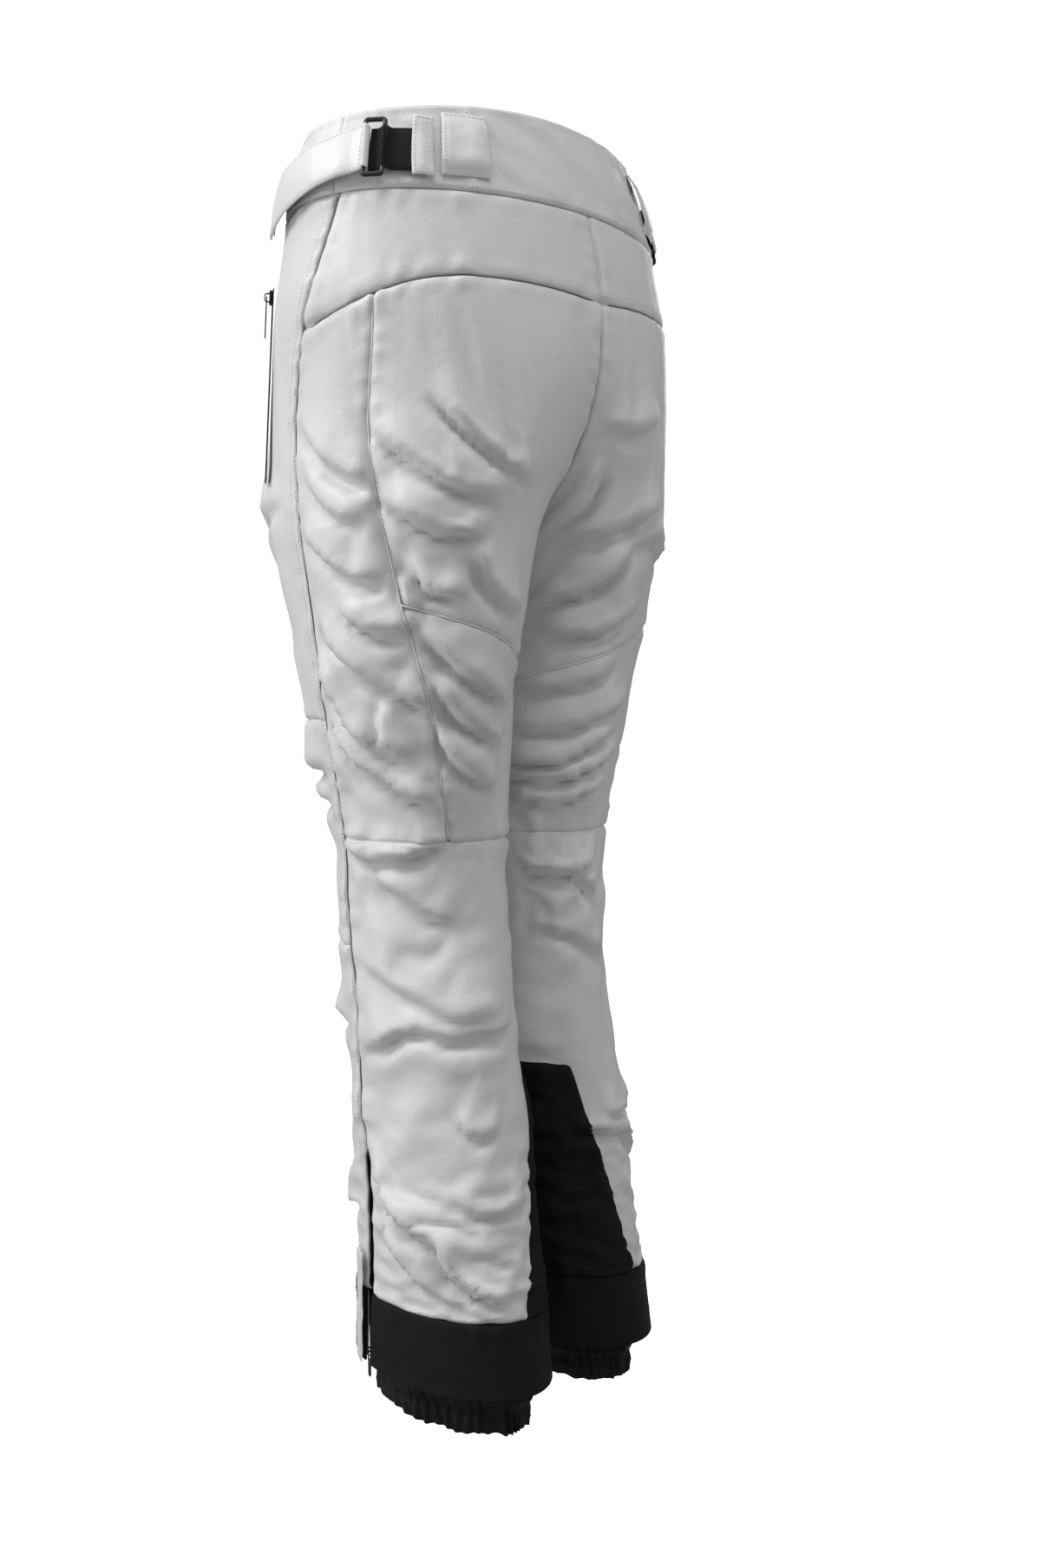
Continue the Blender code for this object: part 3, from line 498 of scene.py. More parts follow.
# ---------------------------------------------------------------- materials
class Shader:
    """A small helper for building one node material."""

    def __init__(self, name):
        self.material = bpy.data.materials.new(name)
        self.material.use_nodes = True
        self.tree = self.material.node_tree
        self.main = self.tree.nodes["Principled BSDF"]

    def set(self, **values):
        for name, value in values.items():
            self.main.inputs[name.replace("_", " ")].default_value = value
        return self

    def node(self, kind, _links=None, **values):
        made = self.tree.nodes.new(kind)
        for name, value in values.items():
            if name in made.bl_rna.properties:
                setattr(made, name, value)
            else:
                made.inputs[name.replace("_", " ")].default_value = value
        for name, source in (_links or {}).items():
            self.tree.links.new(source, made.inputs[name])
        return made

    def link(self, source, socket):
        self.tree.links.new(source, self.main.inputs[socket])

    def coordinates(self, kind="Object"):
        return self.node("ShaderNodeTexCoord").outputs[kind]

    def noise(self, scale, detail=2.0, rough=0.5):
        made = self.node("ShaderNodeTexNoise", {"Vector": self.coordinates()}, Scale=scale, Detail=detail,
                         Roughness=rough)
        return made.outputs["Fac"]

    def ramp(self, value, stops):
        made = self.node("ShaderNodeValToRGB", {"Fac": value})
        marks = made.color_ramp.elements
        while len(marks) < len(stops):
            marks.new(0.5)
        for mark, (at, colour) in zip(marks, stops):
            mark.position = at
            mark.color = (*colour, 1)
        return made.outputs["Color"]

    def map_range(self, value, low, high):
        return self.node("ShaderNodeMapRange", {"Value": value}, To_Min=low, To_Max=high).outputs["Result"]

    def math(self, operation, first, second):
        made = self.node("ShaderNodeMath", operation=operation)
        for k, value in enumerate((first, second)):
            if isinstance(value, (int, float)):
                made.inputs[k].default_value = value
            else:
                self.tree.links.new(value, made.inputs[k])
        return made.outputs[0]

    def wave(self, scale, direction):
        made = self.node("ShaderNodeTexWave", {"Vector": self.coordinates("UV")}, Scale=scale,
                         wave_profile="SIN", bands_direction=direction)
        return made.outputs["Fac"]

    def bump(self, height, strength, distance, below=None):
        made = self.node("ShaderNodeBump", {"Height": height}, Strength=strength, Distance=distance)
        if below is not None:
            self.tree.links.new(below, made.inputs["Normal"])
        return made.outputs["Normal"]


def woven(name, dark, light, rough, pitch, weave, crease=0.25, patch=9.0):
    """Cloth: two crossing sets of yarns, soft creases, and slow changes of colour."""
    s = Shader(name)
    s.set(Sheen_Weight=0.0, Sheen_Roughness=0.45, Specular_IOR_Level=0.42 if dark[0] > 0.05 else 0.2)
    bands = 2 * PI / 20 / pitch      # a wave texture at scale 1 has 20 / (2 pi) bands to the metre
    warp, weft = s.wave(bands, "X"), s.wave(bands, "Y")
    yarns = s.math("MAXIMUM", warp, weft)
    s.link(s.ramp(s.noise(patch, 3, 0.55), [(0.25, dark), (0.75, light)]), "Base Color")
    s.link(s.map_range(s.noise(60, 3), rough - 0.06, rough + 0.08), "Roughness")
    soft = s.bump(s.noise(90, 4, 0.6), crease, 0.0012)
    s.link(s.bump(yarns, weave, pitch * 0.35, soft), "Normal")
    return s.material


def moulded(name, colour, rough, grain=0.15):
    """Moulded plastic: fine grain, slight changes of gloss, and a paler worn tone in places."""
    s = Shader(name)
    pale = tuple(min(1, c * 2.2 + 0.01) for c in colour)
    s.link(s.ramp(s.noise(140, 4, 0.6), [(0.35, colour), (0.85, pale)]), "Base Color")
    s.link(s.map_range(s.noise(220, 3), rough - 0.08, rough + 0.10), "Roughness")
    s.link(s.bump(s.noise(900, 2), grain, 0.0002), "Normal")
    return s.material


def enamelled(name, colour, rough):
    """Enamelled or plated metal: uneven gloss, and a paler tone where it is worn."""
    s = Shader(name)
    s.set(Metallic=0.55, Specular_IOR_Level=0.5)
    pale = tuple(c * 2.5 + 0.02 for c in colour)
    s.link(s.ramp(s.noise(260, 4, 0.65), [(0.4, colour), (0.9, pale)]), "Base Color")
    s.link(s.map_range(s.noise(300, 3), rough - 0.08, rough + 0.12), "Roughness")
    s.link(s.bump(s.noise(500, 3), 0.12, 0.0002), "Normal")
    return s.material


WHITE_DARK, WHITE_LIGHT = (0.665, 0.655, 0.665), (0.75, 0.725, 0.735)
SHELL = woven("nylon_shell", WHITE_DARK, WHITE_LIGHT, 0.40, 0.0007, 0.18, crease=0.5, patch=7.0)
LINING = woven("lining", (0.50, 0.50, 0.52), (0.58, 0.57, 0.58), 0.55, 0.0008, 0.3)
GUARD = woven("guard_cloth", (0.0030, 0.0030, 0.0036), (0.0075, 0.0075, 0.0085), 0.66, 0.0012, 0.7,
              crease=0.4, patch=30)
THREAD = woven("thread", (0.70, 0.69, 0.69), (0.80, 0.79, 0.78), 0.5, 0.0004, 0.4)
DARK_THREAD = woven("dark_thread", (0.015, 0.015, 0.016), (0.03, 0.03, 0.032), 0.5, 0.0004, 0.4)
# A dark grey cord laid along the side and yoke seams: painted shade, standing for the shadow in the seam groove.
SEAM_SHADE_CORD = woven("painted_seam_shade", (0.10, 0.10, 0.105), (0.17, 0.165, 0.165), 0.5, 0.0006, 0.4)
WEBBING = woven("elastic_webbing", (0.0035, 0.0035, 0.0045), (0.010, 0.009, 0.012), 0.66, 0.0011, 0.9)
TAPE = woven("zip_tape_cloth", (0.004, 0.004, 0.0045), (0.010, 0.010, 0.011), 0.62, 0.0009, 0.8)
HOOK = woven("hook_tape", (0.006, 0.006, 0.007), (0.014, 0.014, 0.016), 0.85, 0.0016, 1.0)
GAITER = woven("gaiter_ripstop", (0.0030, 0.0030, 0.0034), (0.008, 0.008, 0.009), 0.50, 0.0022, 0.5)
PALE = woven("placket_cloth", (0.60, 0.50, 0.45), (0.72, 0.62, 0.57), 0.55, 0.0008, 0.4)
RING = moulded("ring_plastic", (0.0035, 0.0035, 0.0045), 0.36)
PULL = moulded("pull_rubber", (0.008, 0.008, 0.009), 0.5)
ENAMEL = enamelled("black_enamel", (0.010, 0.010, 0.011), 0.34)
PLATED = enamelled("plated_snap", (0.34, 0.34, 0.35), 0.30)


# ---------------------------------------------------------------- building panels
EDGE_STEPS = (0.0, 0.0007, 0.0016, 0.0028, 0.0046, 0.0070)


def spaced(length, cell):
    """Places from 0 to 1 that crowd towards both ends, where the seams are."""
    edge = [e for e in EDGE_STEPS if e < length * 0.4]
    inner = length - 2 * edge[-1]
    count = max(2, int(round(inner / cell)))
    middle = [edge[-1] + inner * k / count for k in range(1, count)]
    marks = edge + middle + [length - e for e in reversed(edge)]
    return np.array(marks) / length


def lay(angle_from, angle_to, z_from, z_to, cell=0.0042):
    """(angle, z) arrays over a panel between two seams and two edges."""
    def place(s, t):
        angle = 0.5 * (angle_from(z_from(np.zeros(1))) + angle_to(z_from(np.zeros(1)))) + 0 * s * t
        z = z_from(angle)
        for _ in range(6):
            low, high = angle_from(z), angle_to(z)
            angle = low + (high - low) * s
            z = z_from(angle) + (z_to(angle) - z_from(angle)) * t
        return angle, z

    half = np.full((1, 1), 0.5)
    (a0, zm), (a1, _) = place(half * 0, half), place(half * 2, half)
    wide = float(np.abs(a1 - a0)[0, 0] * np.mean(speed(np.linspace(a0[0, 0], a1[0, 0], 9), zm[0, 0])))
    (_, z0), (_, z1) = place(half, half * 0), place(half, half * 2)
    tall = float(np.abs(z1 - z0)[0, 0])
    s, t = np.meshgrid(spaced(wide, cell), spaced(tall, cell))
    angle, z = place(s, t)
    return angle, z, s * wide, (1 - s) * wide, t * tall, (1 - t) * tall


def pucker(along, gap, upright, side):
    """Height of the cloth beside a seam: it rolls down into the seam and gathers a little along it."""
    kind = 0.0 if upright else 2.0
    drift = noise3(along * 150, gap * 22, side * 2.0 + kind, 41)
    drift = drift + 0.6 * noise3(along * 75, gap * 14, side + kind, 43)
    roll = -0.0017 * bell(gap, 0.0013) - 0.0006 * bell(gap, 0.0045) + 0.0005 * bell(gap - 0.0075, 0.004)
    return roll + 0.0011 * drift * bell(gap - 0.006, 0.010) * step_up(gap, 0.0, 0.003)


def seam_relief(angle, z, gaps, side):
    lift = np.zeros_like(z)
    for k, gap in enumerate(gaps):
        if gap is not None:
            lift = lift + pucker(z if k < 2 else angle * 0.11, gap, k < 2, side)
    return lift


def set_uv(mesh, grid_uv):
    layer = mesh.uv_layers.new(name="cloth")
    loops = np.empty(len(mesh.loops), int)
    mesh.loops.foreach_get("vertex_index", loops)
    layer.data.foreach_set("uv", grid_uv[loops].astype(np.float32).ravel())


def shaped_piece(name, points, faces, uv, material, body, turn_out=False):
    """A smooth piece from points and faces, dressed. turn_out makes all its faces point outwards."""
    mesh = bpy.data.meshes.new(name)
    mesh.from_pydata(points.reshape(-1, 3).tolist(), [], faces)
    mesh.update()
    set_uv(mesh, uv.reshape(-1, 2))
    mesh.shade_smooth()
    if turn_out:
        tidy_normals(mesh)
    return dress(bpy.data.objects.new(name, mesh), material, body)


def tidy_normals(mesh):
    work = bmesh.new()
    work.from_mesh(mesh)
    bmesh.ops.recalc_face_normals(work, faces=work.faces)
    work.to_mesh(mesh)
    work.free()


def grid_mesh(name, outer, inner, uv, flip, material, body=BODY, closed_around=False, lined=None,
              turn_out=False):
    """A closed skin between an outer and an inner grid of points."""
    rows, columns = outer.shape[:2]
    n = np.arange(rows * columns).reshape(rows, columns)
    m = n + rows * columns
    quads = []

    def add(a, b, c, d, turn):
        q = np.stack([a, b, c, d], -1).reshape(-1, 4)
        quads.append(q[:, ::-1] if turn else q)

    def skin_faces(n, turn):
        add(n[:-1, :-1], n[:-1, 1:], n[1:, 1:], n[1:, :-1], turn)
        if closed_around:
            add(n[:-1, -1], n[:-1, 0], n[1:, 0], n[1:, -1], turn)

    skin_faces(n, flip)
    skin = sum(len(q) for q in quads)
    skin_faces(m, not flip)
    add(n[0, 1:], n[0, :-1], m[0, :-1], m[0, 1:], flip)
    add(n[-1, :-1], n[-1, 1:], m[-1, 1:], m[-1, :-1], flip)
    if closed_around:
        add(n[0, :1], n[0, -1:], m[0, -1:], m[0, :1], flip)
        add(n[-1, -1:], n[-1, :1], m[-1, :1], m[-1, -1:], flip)
    else:
        add(n[:-1, 0], n[1:, 0], m[1:, 0], m[:-1, 0], flip)
        add(n[1:, -1], n[:-1, -1], m[:-1, -1], m[1:, -1], flip)
    points = np.concatenate([outer.reshape(-1, 3), inner.reshape(-1, 3)])
    uvs = np.concatenate([uv.reshape(-1, 2)] * 2)
    made = shaped_piece(name, points, np.concatenate(quads).tolist(), uvs, material, body, turn_out)
    if lined:
        made.data.materials.append(lined)
        index = np.zeros(len(made.data.polygons), np.int32)
        index[skin:2 * skin] = 1
        made.data.polygons.foreach_set("material_index", index)
    return made


def dress(made, material, body):
    """Gives a piece its material and the body that it moves with."""
    bpy.context.scene.collection.objects.link(made)
    made.data.materials.clear()
    made.data.materials.append(material)
    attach(made, body)
    return made


def panel(name, side, edges, node, seams=(1, 1, 1, 1), material=SHELL, out=0.0,
          thick=0.0022):
    """One cloth panel, in place of a CAD node. seams says which of its edges (from, to, low, high) are sewn."""
    angle, z, *gaps = lay(*edges)
    gaps = [g if sewn else None for g, sewn in zip(gaps, seams)]
    lift = out + seam_relief(angle, z, gaps, side)
    outer = cloth(side, angle, z, lift)
    inner = cloth(side, angle, z, np.minimum(lift, out) - thick)
    uv = np.stack([angle * speed(angle, z), z], -1)
    made = grid_mesh(name, outer, inner, uv, side < 0, material, lined=LINING)
    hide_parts(node)


# ---------------------------------------------------------------- stitches, and dark cords of painted seam shade
def stitch_mesh(name, places, along, out, length, width, material, body=BODY):
    """One mesh of raised stitches, each a small pointed bead lying along the seam."""
    across = unit(np.cross(out, along))
    half, side_way, high = along * length / 2, across * width / 2, out * width * 0.45
    corners = np.stack([places - half, places + side_way, places + half, places - side_way,
                        places + high, places - high], 1)
    pattern = np.array([(0, 3, 4), (3, 2, 4), (2, 1, 4), (1, 0, 4), (3, 0, 5), (2, 3, 5), (1, 2, 5), (0, 1, 5)])
    faces = (pattern[None] + 6 * np.arange(len(places))[:, None, None]).reshape(-1, 3)
    shaped_piece(name, corners, faces.tolist(), corners[..., :2], material, body)


def evenly(points, normals, pitch):
    """Places, directions and normals at an even pitch along a line of points."""
    step = np.linalg.norm(np.diff(points, axis=0), axis=1)
    run = np.concatenate([[0], np.cumsum(step)])
    marks = np.arange(pitch / 2, run[-1], pitch)
    places = np.stack([np.interp(marks, run, points[:, c]) for c in range(3)], -1)
    out = np.stack([np.interp(marks, run, normals[:, c]) for c in range(3)], -1)
    return places, unit(np.gradient(places, axis=0)), unit(out)


def on_cloth(side, angle, z, gap, upright, out=0.0):
    """A line of points beside a seam, with its normals."""
    lift = out + pucker(z if upright else angle * 0.11, np.full_like(z, abs(gap)), upright, side)
    low, high = cloth(side, angle, z, lift), cloth(side, angle, z, lift + 0.001)
    return low, (high - low) / 0.001


def upright_line(side, seam, z_low, z_high, gap, out=0.0):
    z = np.linspace(z_low, z_high, 400)
    return on_cloth(side, plus(seam, gap)(z), z, gap, True, out)


def level_line(side, edge, angle_low, angle_high, gap, out=0.0):
    angle = np.linspace(angle_low, angle_high, 300)
    z = edge(angle) + gap
    return on_cloth(side, angle, z, gap, False, out)


TOPSTITCH, STITCH_PITCH = 0.0026, 0.0036


def stitch_lines(side):
    """(points, normals) of each run of topstitching on the pale shell."""
    def beside(z, turn):
        """An angle off the side seam at a height."""
        return float(side_seam(np.array([z]))[0]) + turn

    return [upright_line(side, side_seam, -0.848, -0.070, -TOPSTITCH),
            upright_line(side, side_seam, -0.848, -0.070, -0.0085),
            upright_line(side, back_seam, KNEE_SEAM + 0.004, -0.152, TOPSTITCH),
            upright_line(side, centre_seam, -0.30, -0.070, -TOPSTITCH),
            upright_line(side, front_centre, -0.30, -0.245, TOPSTITCH),
            level_line(side, yoke_seam, 0.03, PI / 2 - 0.02, -TOPSTITCH),
            level_line(side, thigh_seam, 0.66, 2.9, TOPSTITCH),
            level_line(side, flat(KNEE_SEAM), beside(KNEE_SEAM, 0.03), 3.1, -TOPSTITCH),
            level_line(side, flat(KNEE_PATCH_TOP), -3.1, beside(KNEE_PATCH_TOP, -0.03), TOPSTITCH),
            level_line(side, flat(KNEE_PATCH_BOTTOM), -3.1, beside(KNEE_PATCH_BOTTOM, -0.03), -TOPSTITCH),
            level_line(side, flat(BAND_TOP), beside(BAND_TOP, 0.09), 1.42, TOPSTITCH),
            level_line(side, flat(BAND_TOP), -1.82, beside(BAND_TOP, -0.09), TOPSTITCH)]


def joined_stitches(name, runs, material, length=0.0027, width=0.0006, pitch=STITCH_PITCH, body=BODY):
    parts = [evenly(p, n, pitch) for p, n in runs]
    places, along, out = (np.concatenate(group) for group in zip(*parts))
    stitch_mesh(name, places, along, out, length, width, material, body)


def tube(name, points, normals, radius, material, around=8, flat_share=1.0, closed=False):
    """A round or flattened cord along points: a closed loop, or with its ends closed."""
    along = unit(np.gradient(points, axis=0))
    across = unit(np.cross(normals, along))
    up = np.cross(along, across)
    turn = np.linspace(0, 2 * PI, around, endpoint=False)
    rings = points[:, None] + radius * (across[:, None] * np.cos(turn)[None, :, None]
                                        + up[:, None] * np.sin(turn)[None, :, None] * flat_share)
    count = len(points)
    n = np.arange(count * around).reshape(count, around)
    quads = []
    for k in range(count if closed else count - 1):
        a, b = n[k], n[(k + 1) % count]
        quads += np.stack([a, np.roll(a, -1), np.roll(b, -1), b], -1).tolist()
    if not closed:
        quads += [n[0][::-1].tolist(), n[-1].tolist()]
    run = np.concatenate([[0], np.cumsum(np.linalg.norm(np.diff(points, axis=0), axis=1))])
    uv = np.stack([np.repeat(turn[None] * radius, count, 0), np.repeat(run[:, None], around, 1)], -1)
    return shaped_piece(name, rings, quads, uv, material, BODY, turn_out=True)


# ---------------------------------------------------------------- the shell
SLOT_TOP = ANKLE_ZIP_TOP + 0.014      # where the slot for the ankle zip has closed to a point


def slot_edge(sign):
    """The side seam, opened to a slot beside the ankle zip."""
    def edge(z):
        half = ramp(z, (ANKLE_ZIP_TOP + 0.005, SLOT_HALF), (SLOT_TOP, 0.0))
        return side_seam(z) + sign * half / speed(side_seam(z), z)
    return edge


def fly_edge(z):
    half = ramp(z, (FLY_BOTTOM - 0.012, 0.0), (FLY_BOTTOM, SLOT_HALF))
    return front_centre(z) + half / speed(front_centre(z), z)


def guard_end(z):
    return 2 * PI + guard_front(z)


def band_end(z):
    return 2 * PI + slot_edge(-1)(z)


def shell(side, word):
    knee, waist, band = flat(KNEE_SEAM), flat(WAIST_SEAM), flat(BAND_TOP)
    patch_top, patch_bottom = flat(KNEE_PATCH_TOP), flat(KNEE_PATCH_BOTTOM)
    plans = {
        "back_yoke": (side_seam, centre_seam, yoke_seam, waist),
        "seat_panel": (back_seam, centre_seam, thigh_seam, yoke_seam),
        "side_panel": (side_seam, back_seam, knee, yoke_seam),
        "knee_back_panel": (back_seam, centre_seam, knee, thigh_seam),
        "front_panel": (fly_edge, side_seam, patch_top, waist),
        "knee_panel": (front_centre, side_seam, patch_bottom, patch_top),
        "calf_panel": (slot_edge(1), centre_seam, band, knee),
        "shin_panel": (front_centre, slot_edge(-1), band, patch_bottom),
    }
    for name, edges in plans.items():
        panel(f"cloth_{name}_{word}", side, edges, f"{name}_{word}")
    edges = (guard_back, guard_end, band, flat(GUARD_TOP))
    panel(f"cloth_kick_guard_{word}", side, edges, f"kick_guard_{word}", (1, 1, 1, 1), GUARD,
          0.0019, 0.0016)
    edges = (slot_edge(1), band_end, flat(HEM), band)
    panel(f"cloth_hem_band_{word}", side, edges, f"hem_band_{word}", (0, 0, 0, 1), GUARD,
          0.0006, 0.0022)
    joined_stitches(f"topstitch_{word}", stitch_lines(side), THREAD)
    # The side and yoke cords are painted shade: dark grey cords where the seam grooves fall into shadow. The
    # back and thigh rolls are raised thread.
    cords = (
        ("painted_shade_side_seam", upright_line(side, side_seam, SLOT_TOP, WAIST_SEAM - 0.002, 0, 0.0010), 0.00055, SEAM_SHADE_CORD),
        ("painted_shade_yoke_seam", level_line(side, yoke_seam, 0.02, PI / 2, 0, 0.0009), 0.00045, SEAM_SHADE_CORD),
        ("seam_roll_back", upright_line(side, back_seam, KNEE_SEAM + 0.003, -0.150, 0, 0.0009), 0.00085, THREAD),
        ("seam_roll_thigh", level_line(side, thigh_seam, 0.62, 2.95, 0, 0.0009), 0.00085, THREAD),
    )
    for name, (points, normals), radius, material in cords:
        tube(f"{name}_{word}", points[::2], normals[::2], radius, material)
    dark = [level_line(side, flat(HEM), -0.30, 2 * PI - 0.55, 0.0125, 0.0008),
            level_line(side, flat(HEM), -0.30, 2 * PI - 0.55, 0.0150, 0.0008),
            level_line(side, flat(BAND_TOP), -0.30, 2 * PI - 0.55, -TOPSTITCH, 0.0008),
            upright_line(side, guard_back, BAND_TOP + 0.004, GUARD_TOP - 0.003, TOPSTITCH, 0.0021),
            upright_line(side, guard_end, BAND_TOP + 0.004, GUARD_TOP - 0.003, -TOPSTITCH, 0.0021),
            level_line(side, flat(GUARD_TOP), 2.15, 2 * PI - 2.33, -TOPSTITCH, 0.0021)]
    joined_stitches(f"dark_topstitch_{word}", dark, DARK_THREAD)


for side, word in SIDES:
    shell(side, word)


# ---------------------------------------------------------------- waistband
WAIST_RADIUS = 0.15         # metres along the waist for each radian, near enough for widths and noise


def waist_top(angle):
    return WAIST_TOP_BACK * np.maximum(0.0, np.sin(angle)) ** 2


def on_waist(angle, z, out, base):
    """Points a distance out of the sloping waistband, by height along it."""
    angle, z, out = np.broadcast_arrays(np.asarray(angle, float), z, out)
    base = np.broadcast_to(np.asarray(base, float), angle.shape)
    point = body_point(angle, z) + body_out(angle, z) * 0.0012
    lean = unit(body_point(angle, base + 0.02) - body_point(angle, base - 0.02))
    level = body_out(angle, base)
    normal = unit(level - lean * np.sum(level * lean, -1, keepdims=True))
    return point + normal * out[..., None]


def band_relief(angle, z):
    """Soft slanting creases and the roll of the folded top edge."""
    top = waist_top(angle)
    gap_low, gap_top = z - WAIST_SEAM, top - z
    u = angle * WAIST_RADIUS
    slant = 0.0016 * noise3((u + z * 1.4) * 34, (z - u * 0.25) * 20, 1.0, 61)
    small = 0.0005 * noise3((u + z) * 110, z * 60, 2.0, 63)
    roll = -0.0016 * bell(gap_low, 0.0014) - 0.0022 * bell(gap_top, 0.0012)
    roll = roll - 0.0005 * bell(gap_top - 0.0065, 0.0016)
    beside = bell(gap_low - 0.006, 0.009) + bell(gap_top - 0.008, 0.008)
    gather = 0.0007 * noise3(u * 150, 0.0, 3.0, 65) * beside
    return slant * step_up(gap_low, 0, 0.012) * step_up(gap_top, 0, 0.012) + small + roll + gather


def band_piece(name, start, end, node):
    wide = abs(end - start) * WAIST_RADIUS
    s = spaced(wide, 0.0036)
    t = spaced(0.066, 0.0030)
    angle = (start + (end - start) * s)[None, :] + 0 * t[:, None]
    z = WAIST_SEAM + (waist_top(angle) - WAIST_SEAM) * t[:, None]
    edge = np.minimum(s, 1 - s) * wide
    lift = 0.0006 + band_relief(angle, z) - 0.0012 * bell(edge, 0.0012)[None, :]
    base = body_point(angle, z)
    out = body_out(angle, z)
    outer = base + out * lift[..., None]
    inner = base + out * (np.minimum(lift, 0.0004) - 0.0030)[..., None]
    uv = np.stack([angle * WAIST_RADIUS, z], -1)
    made = grid_mesh(name, outer, inner, uv, False, SHELL, lined=LINING)
    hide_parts(node)


def band_line(start, end, gap, from_top):
    angle = np.linspace(start, end, 400)
    z = waist_top(angle) - gap if from_top else WAIST_SEAM + gap + 0 * angle
    out = body_out(angle, z)
    return body_point(angle, z) + out * (0.0007 + band_relief(angle, z))[:, None], out


def waistband():
    split = 0.15
    pieces = (("waistband_back", split, PI - split), ("waistband_front_left", -PI / 2 + 0.004, split),
              ("waistband_front_right", PI - split, 1.5 * PI - 0.004))
    for name, start, end in pieces:
        band_piece("cloth_" + name, start, end, name)
    runs = []
    for _, start, end in pieces:
        for gap, from_top in ((0.0065, True), (0.0032, False)):
            runs.append(band_line(start + 0.02, end - 0.02, gap, from_top))
    joined_stitches("waistband_stitches", runs, THREAD)


# ---------------------------------------------------------------- straps and loops on the waist
def strap(name, side, surface, wide, long, thick, material, body=BODY, cell=0.003, replaces=(),
          crown=0.0004, ripple=0.0003):
    """A sewn strap with rounded edges. surface(s, t, out) takes shares of its length and its width."""
    s, t = spaced(long, cell), spaced(wide, cell)
    s, t = np.meshgrid(s, t)
    gap = np.minimum(np.minimum(s, 1 - s) * long, np.minimum(t, 1 - t) * wide)
    rounded = thick * 0.42 * bell(gap, 0.0007)
    puff = crown * step_up(gap, 0, 0.005) - rounded - 0.0003 * bell(gap - 0.003, 0.0008)
    puff = puff + ripple * noise3(s * long * 120, t * wide * 90, side * 3.0, 71) * step_up(gap, 0, 0.003)
    top = mirrored(surface(s, t, puff), side)
    low = mirrored(surface(s, t, -thick + rounded), side)
    uv = np.stack([s * long, t * wide], -1)
    made = grid_mesh(name, top, low, uv, side < 0, material, body, turn_out=True)
    if replaces:
        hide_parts(*replaces)
    return made


def strap_stitches(name, side, surface, wide, long, inset, material, body=BODY, ends=(True, True)):
    a, b = inset / long, inset / wide
    runs = []
    corners = [((a, b), (1 - a, b)), ((a, 1 - b), (1 - a, 1 - b))]
    if ends[0]:
        corners.append(((a, b), (a, 1 - b)))
    if ends[1]:
        corners.append(((1 - a, b), (1 - a, 1 - b)))
    for (s0, t0), (s1, t1) in corners:
        s, t = np.linspace(s0, s1, 120), np.linspace(t0, t1, 120)
        low, high = surface(s, t, 0.0002 + 0 * s), surface(s, t, 0.0012 + 0 * s)
        runs.append((mirrored(low, side), mirrored((high - low) / 0.001, side)))
    joined_stitches(name, runs, material, body=body)


LOOP_LOW, LOOP_HIGH, LOOP_TALL, LOOP_STAND = -0.056, -0.002, 0.054, 0.0042
RING_ANGLE, TAB_TIP_ANGLE = 0.425, -0.58
TAB_LOW, TAB_HIGH, TAB_DROP, TAB_LIFT = -0.056, -0.018, 0.034, 0.004
RING_HALF_WIDE, RING_HALF_HIGH, RING_BAR = 0.0062, 0.0225, 0.0030
RING_REACH = RING_HALF_WIDE + RING_BAR / 2      # from the ring's middle to the middle of its upright bars
TAB_LONG, TAB_WIDE, WEB_WIDE, PATCH_WIDE = 0.135, 0.036, 0.036, 0.051


def belt_loop(side, word, place, middle, half):
    """A wide cloth loop whose ends are sewn above and below, bowed out between them."""
    base = 0.5 * (LOOP_LOW + LOOP_HIGH)
    wide = 2 * half * float(speed(np.array(middle), np.array(-0.03)))

    def surface(s, t, out):
        bow = step_up(t, 0.0, 0.24) * step_up(t, 1.0, 0.76)
        angle = middle - half + 2 * half * s
        z = LOOP_LOW + (LOOP_HIGH - LOOP_LOW) * t
        slack = 0.0007 * np.sin(t * PI) * np.sin(s * PI) + 0.0009 * noise3(s * 2.4, t * 2.1, 4.0, 73) * bow
        return on_waist(angle, z, out + 0.0014 + (LOOP_STAND - 0.0010) * bow + slack, base)

    strap(f"cloth_belt_loop_{place}_{word}", side, surface, LOOP_TALL, wide, 0.0012, SHELL,
          replaces=[f"belt_loop_{place}_{word}"])
    strap_stitches(f"belt_loop_stitches_{place}_{word}", side, surface, LOOP_TALL, wide, 0.0024, THREAD)


def ring_frame():
    base = 0.5 * (TAB_LOW + TAB_HIGH)
    origin = on_waist(RING_ANGLE, base, 0.0066, base)
    angle = np.array(RING_ANGLE)
    up = body_point(angle, np.array(base + 0.02)) - body_point(angle, np.array(base - 0.02))
    up = up / np.linalg.norm(up)
    out = body_out(angle, np.array(base))
    out = out - up * (out @ up)
    out = out / np.linalg.norm(out)
    return origin, out, np.cross(out, up), up


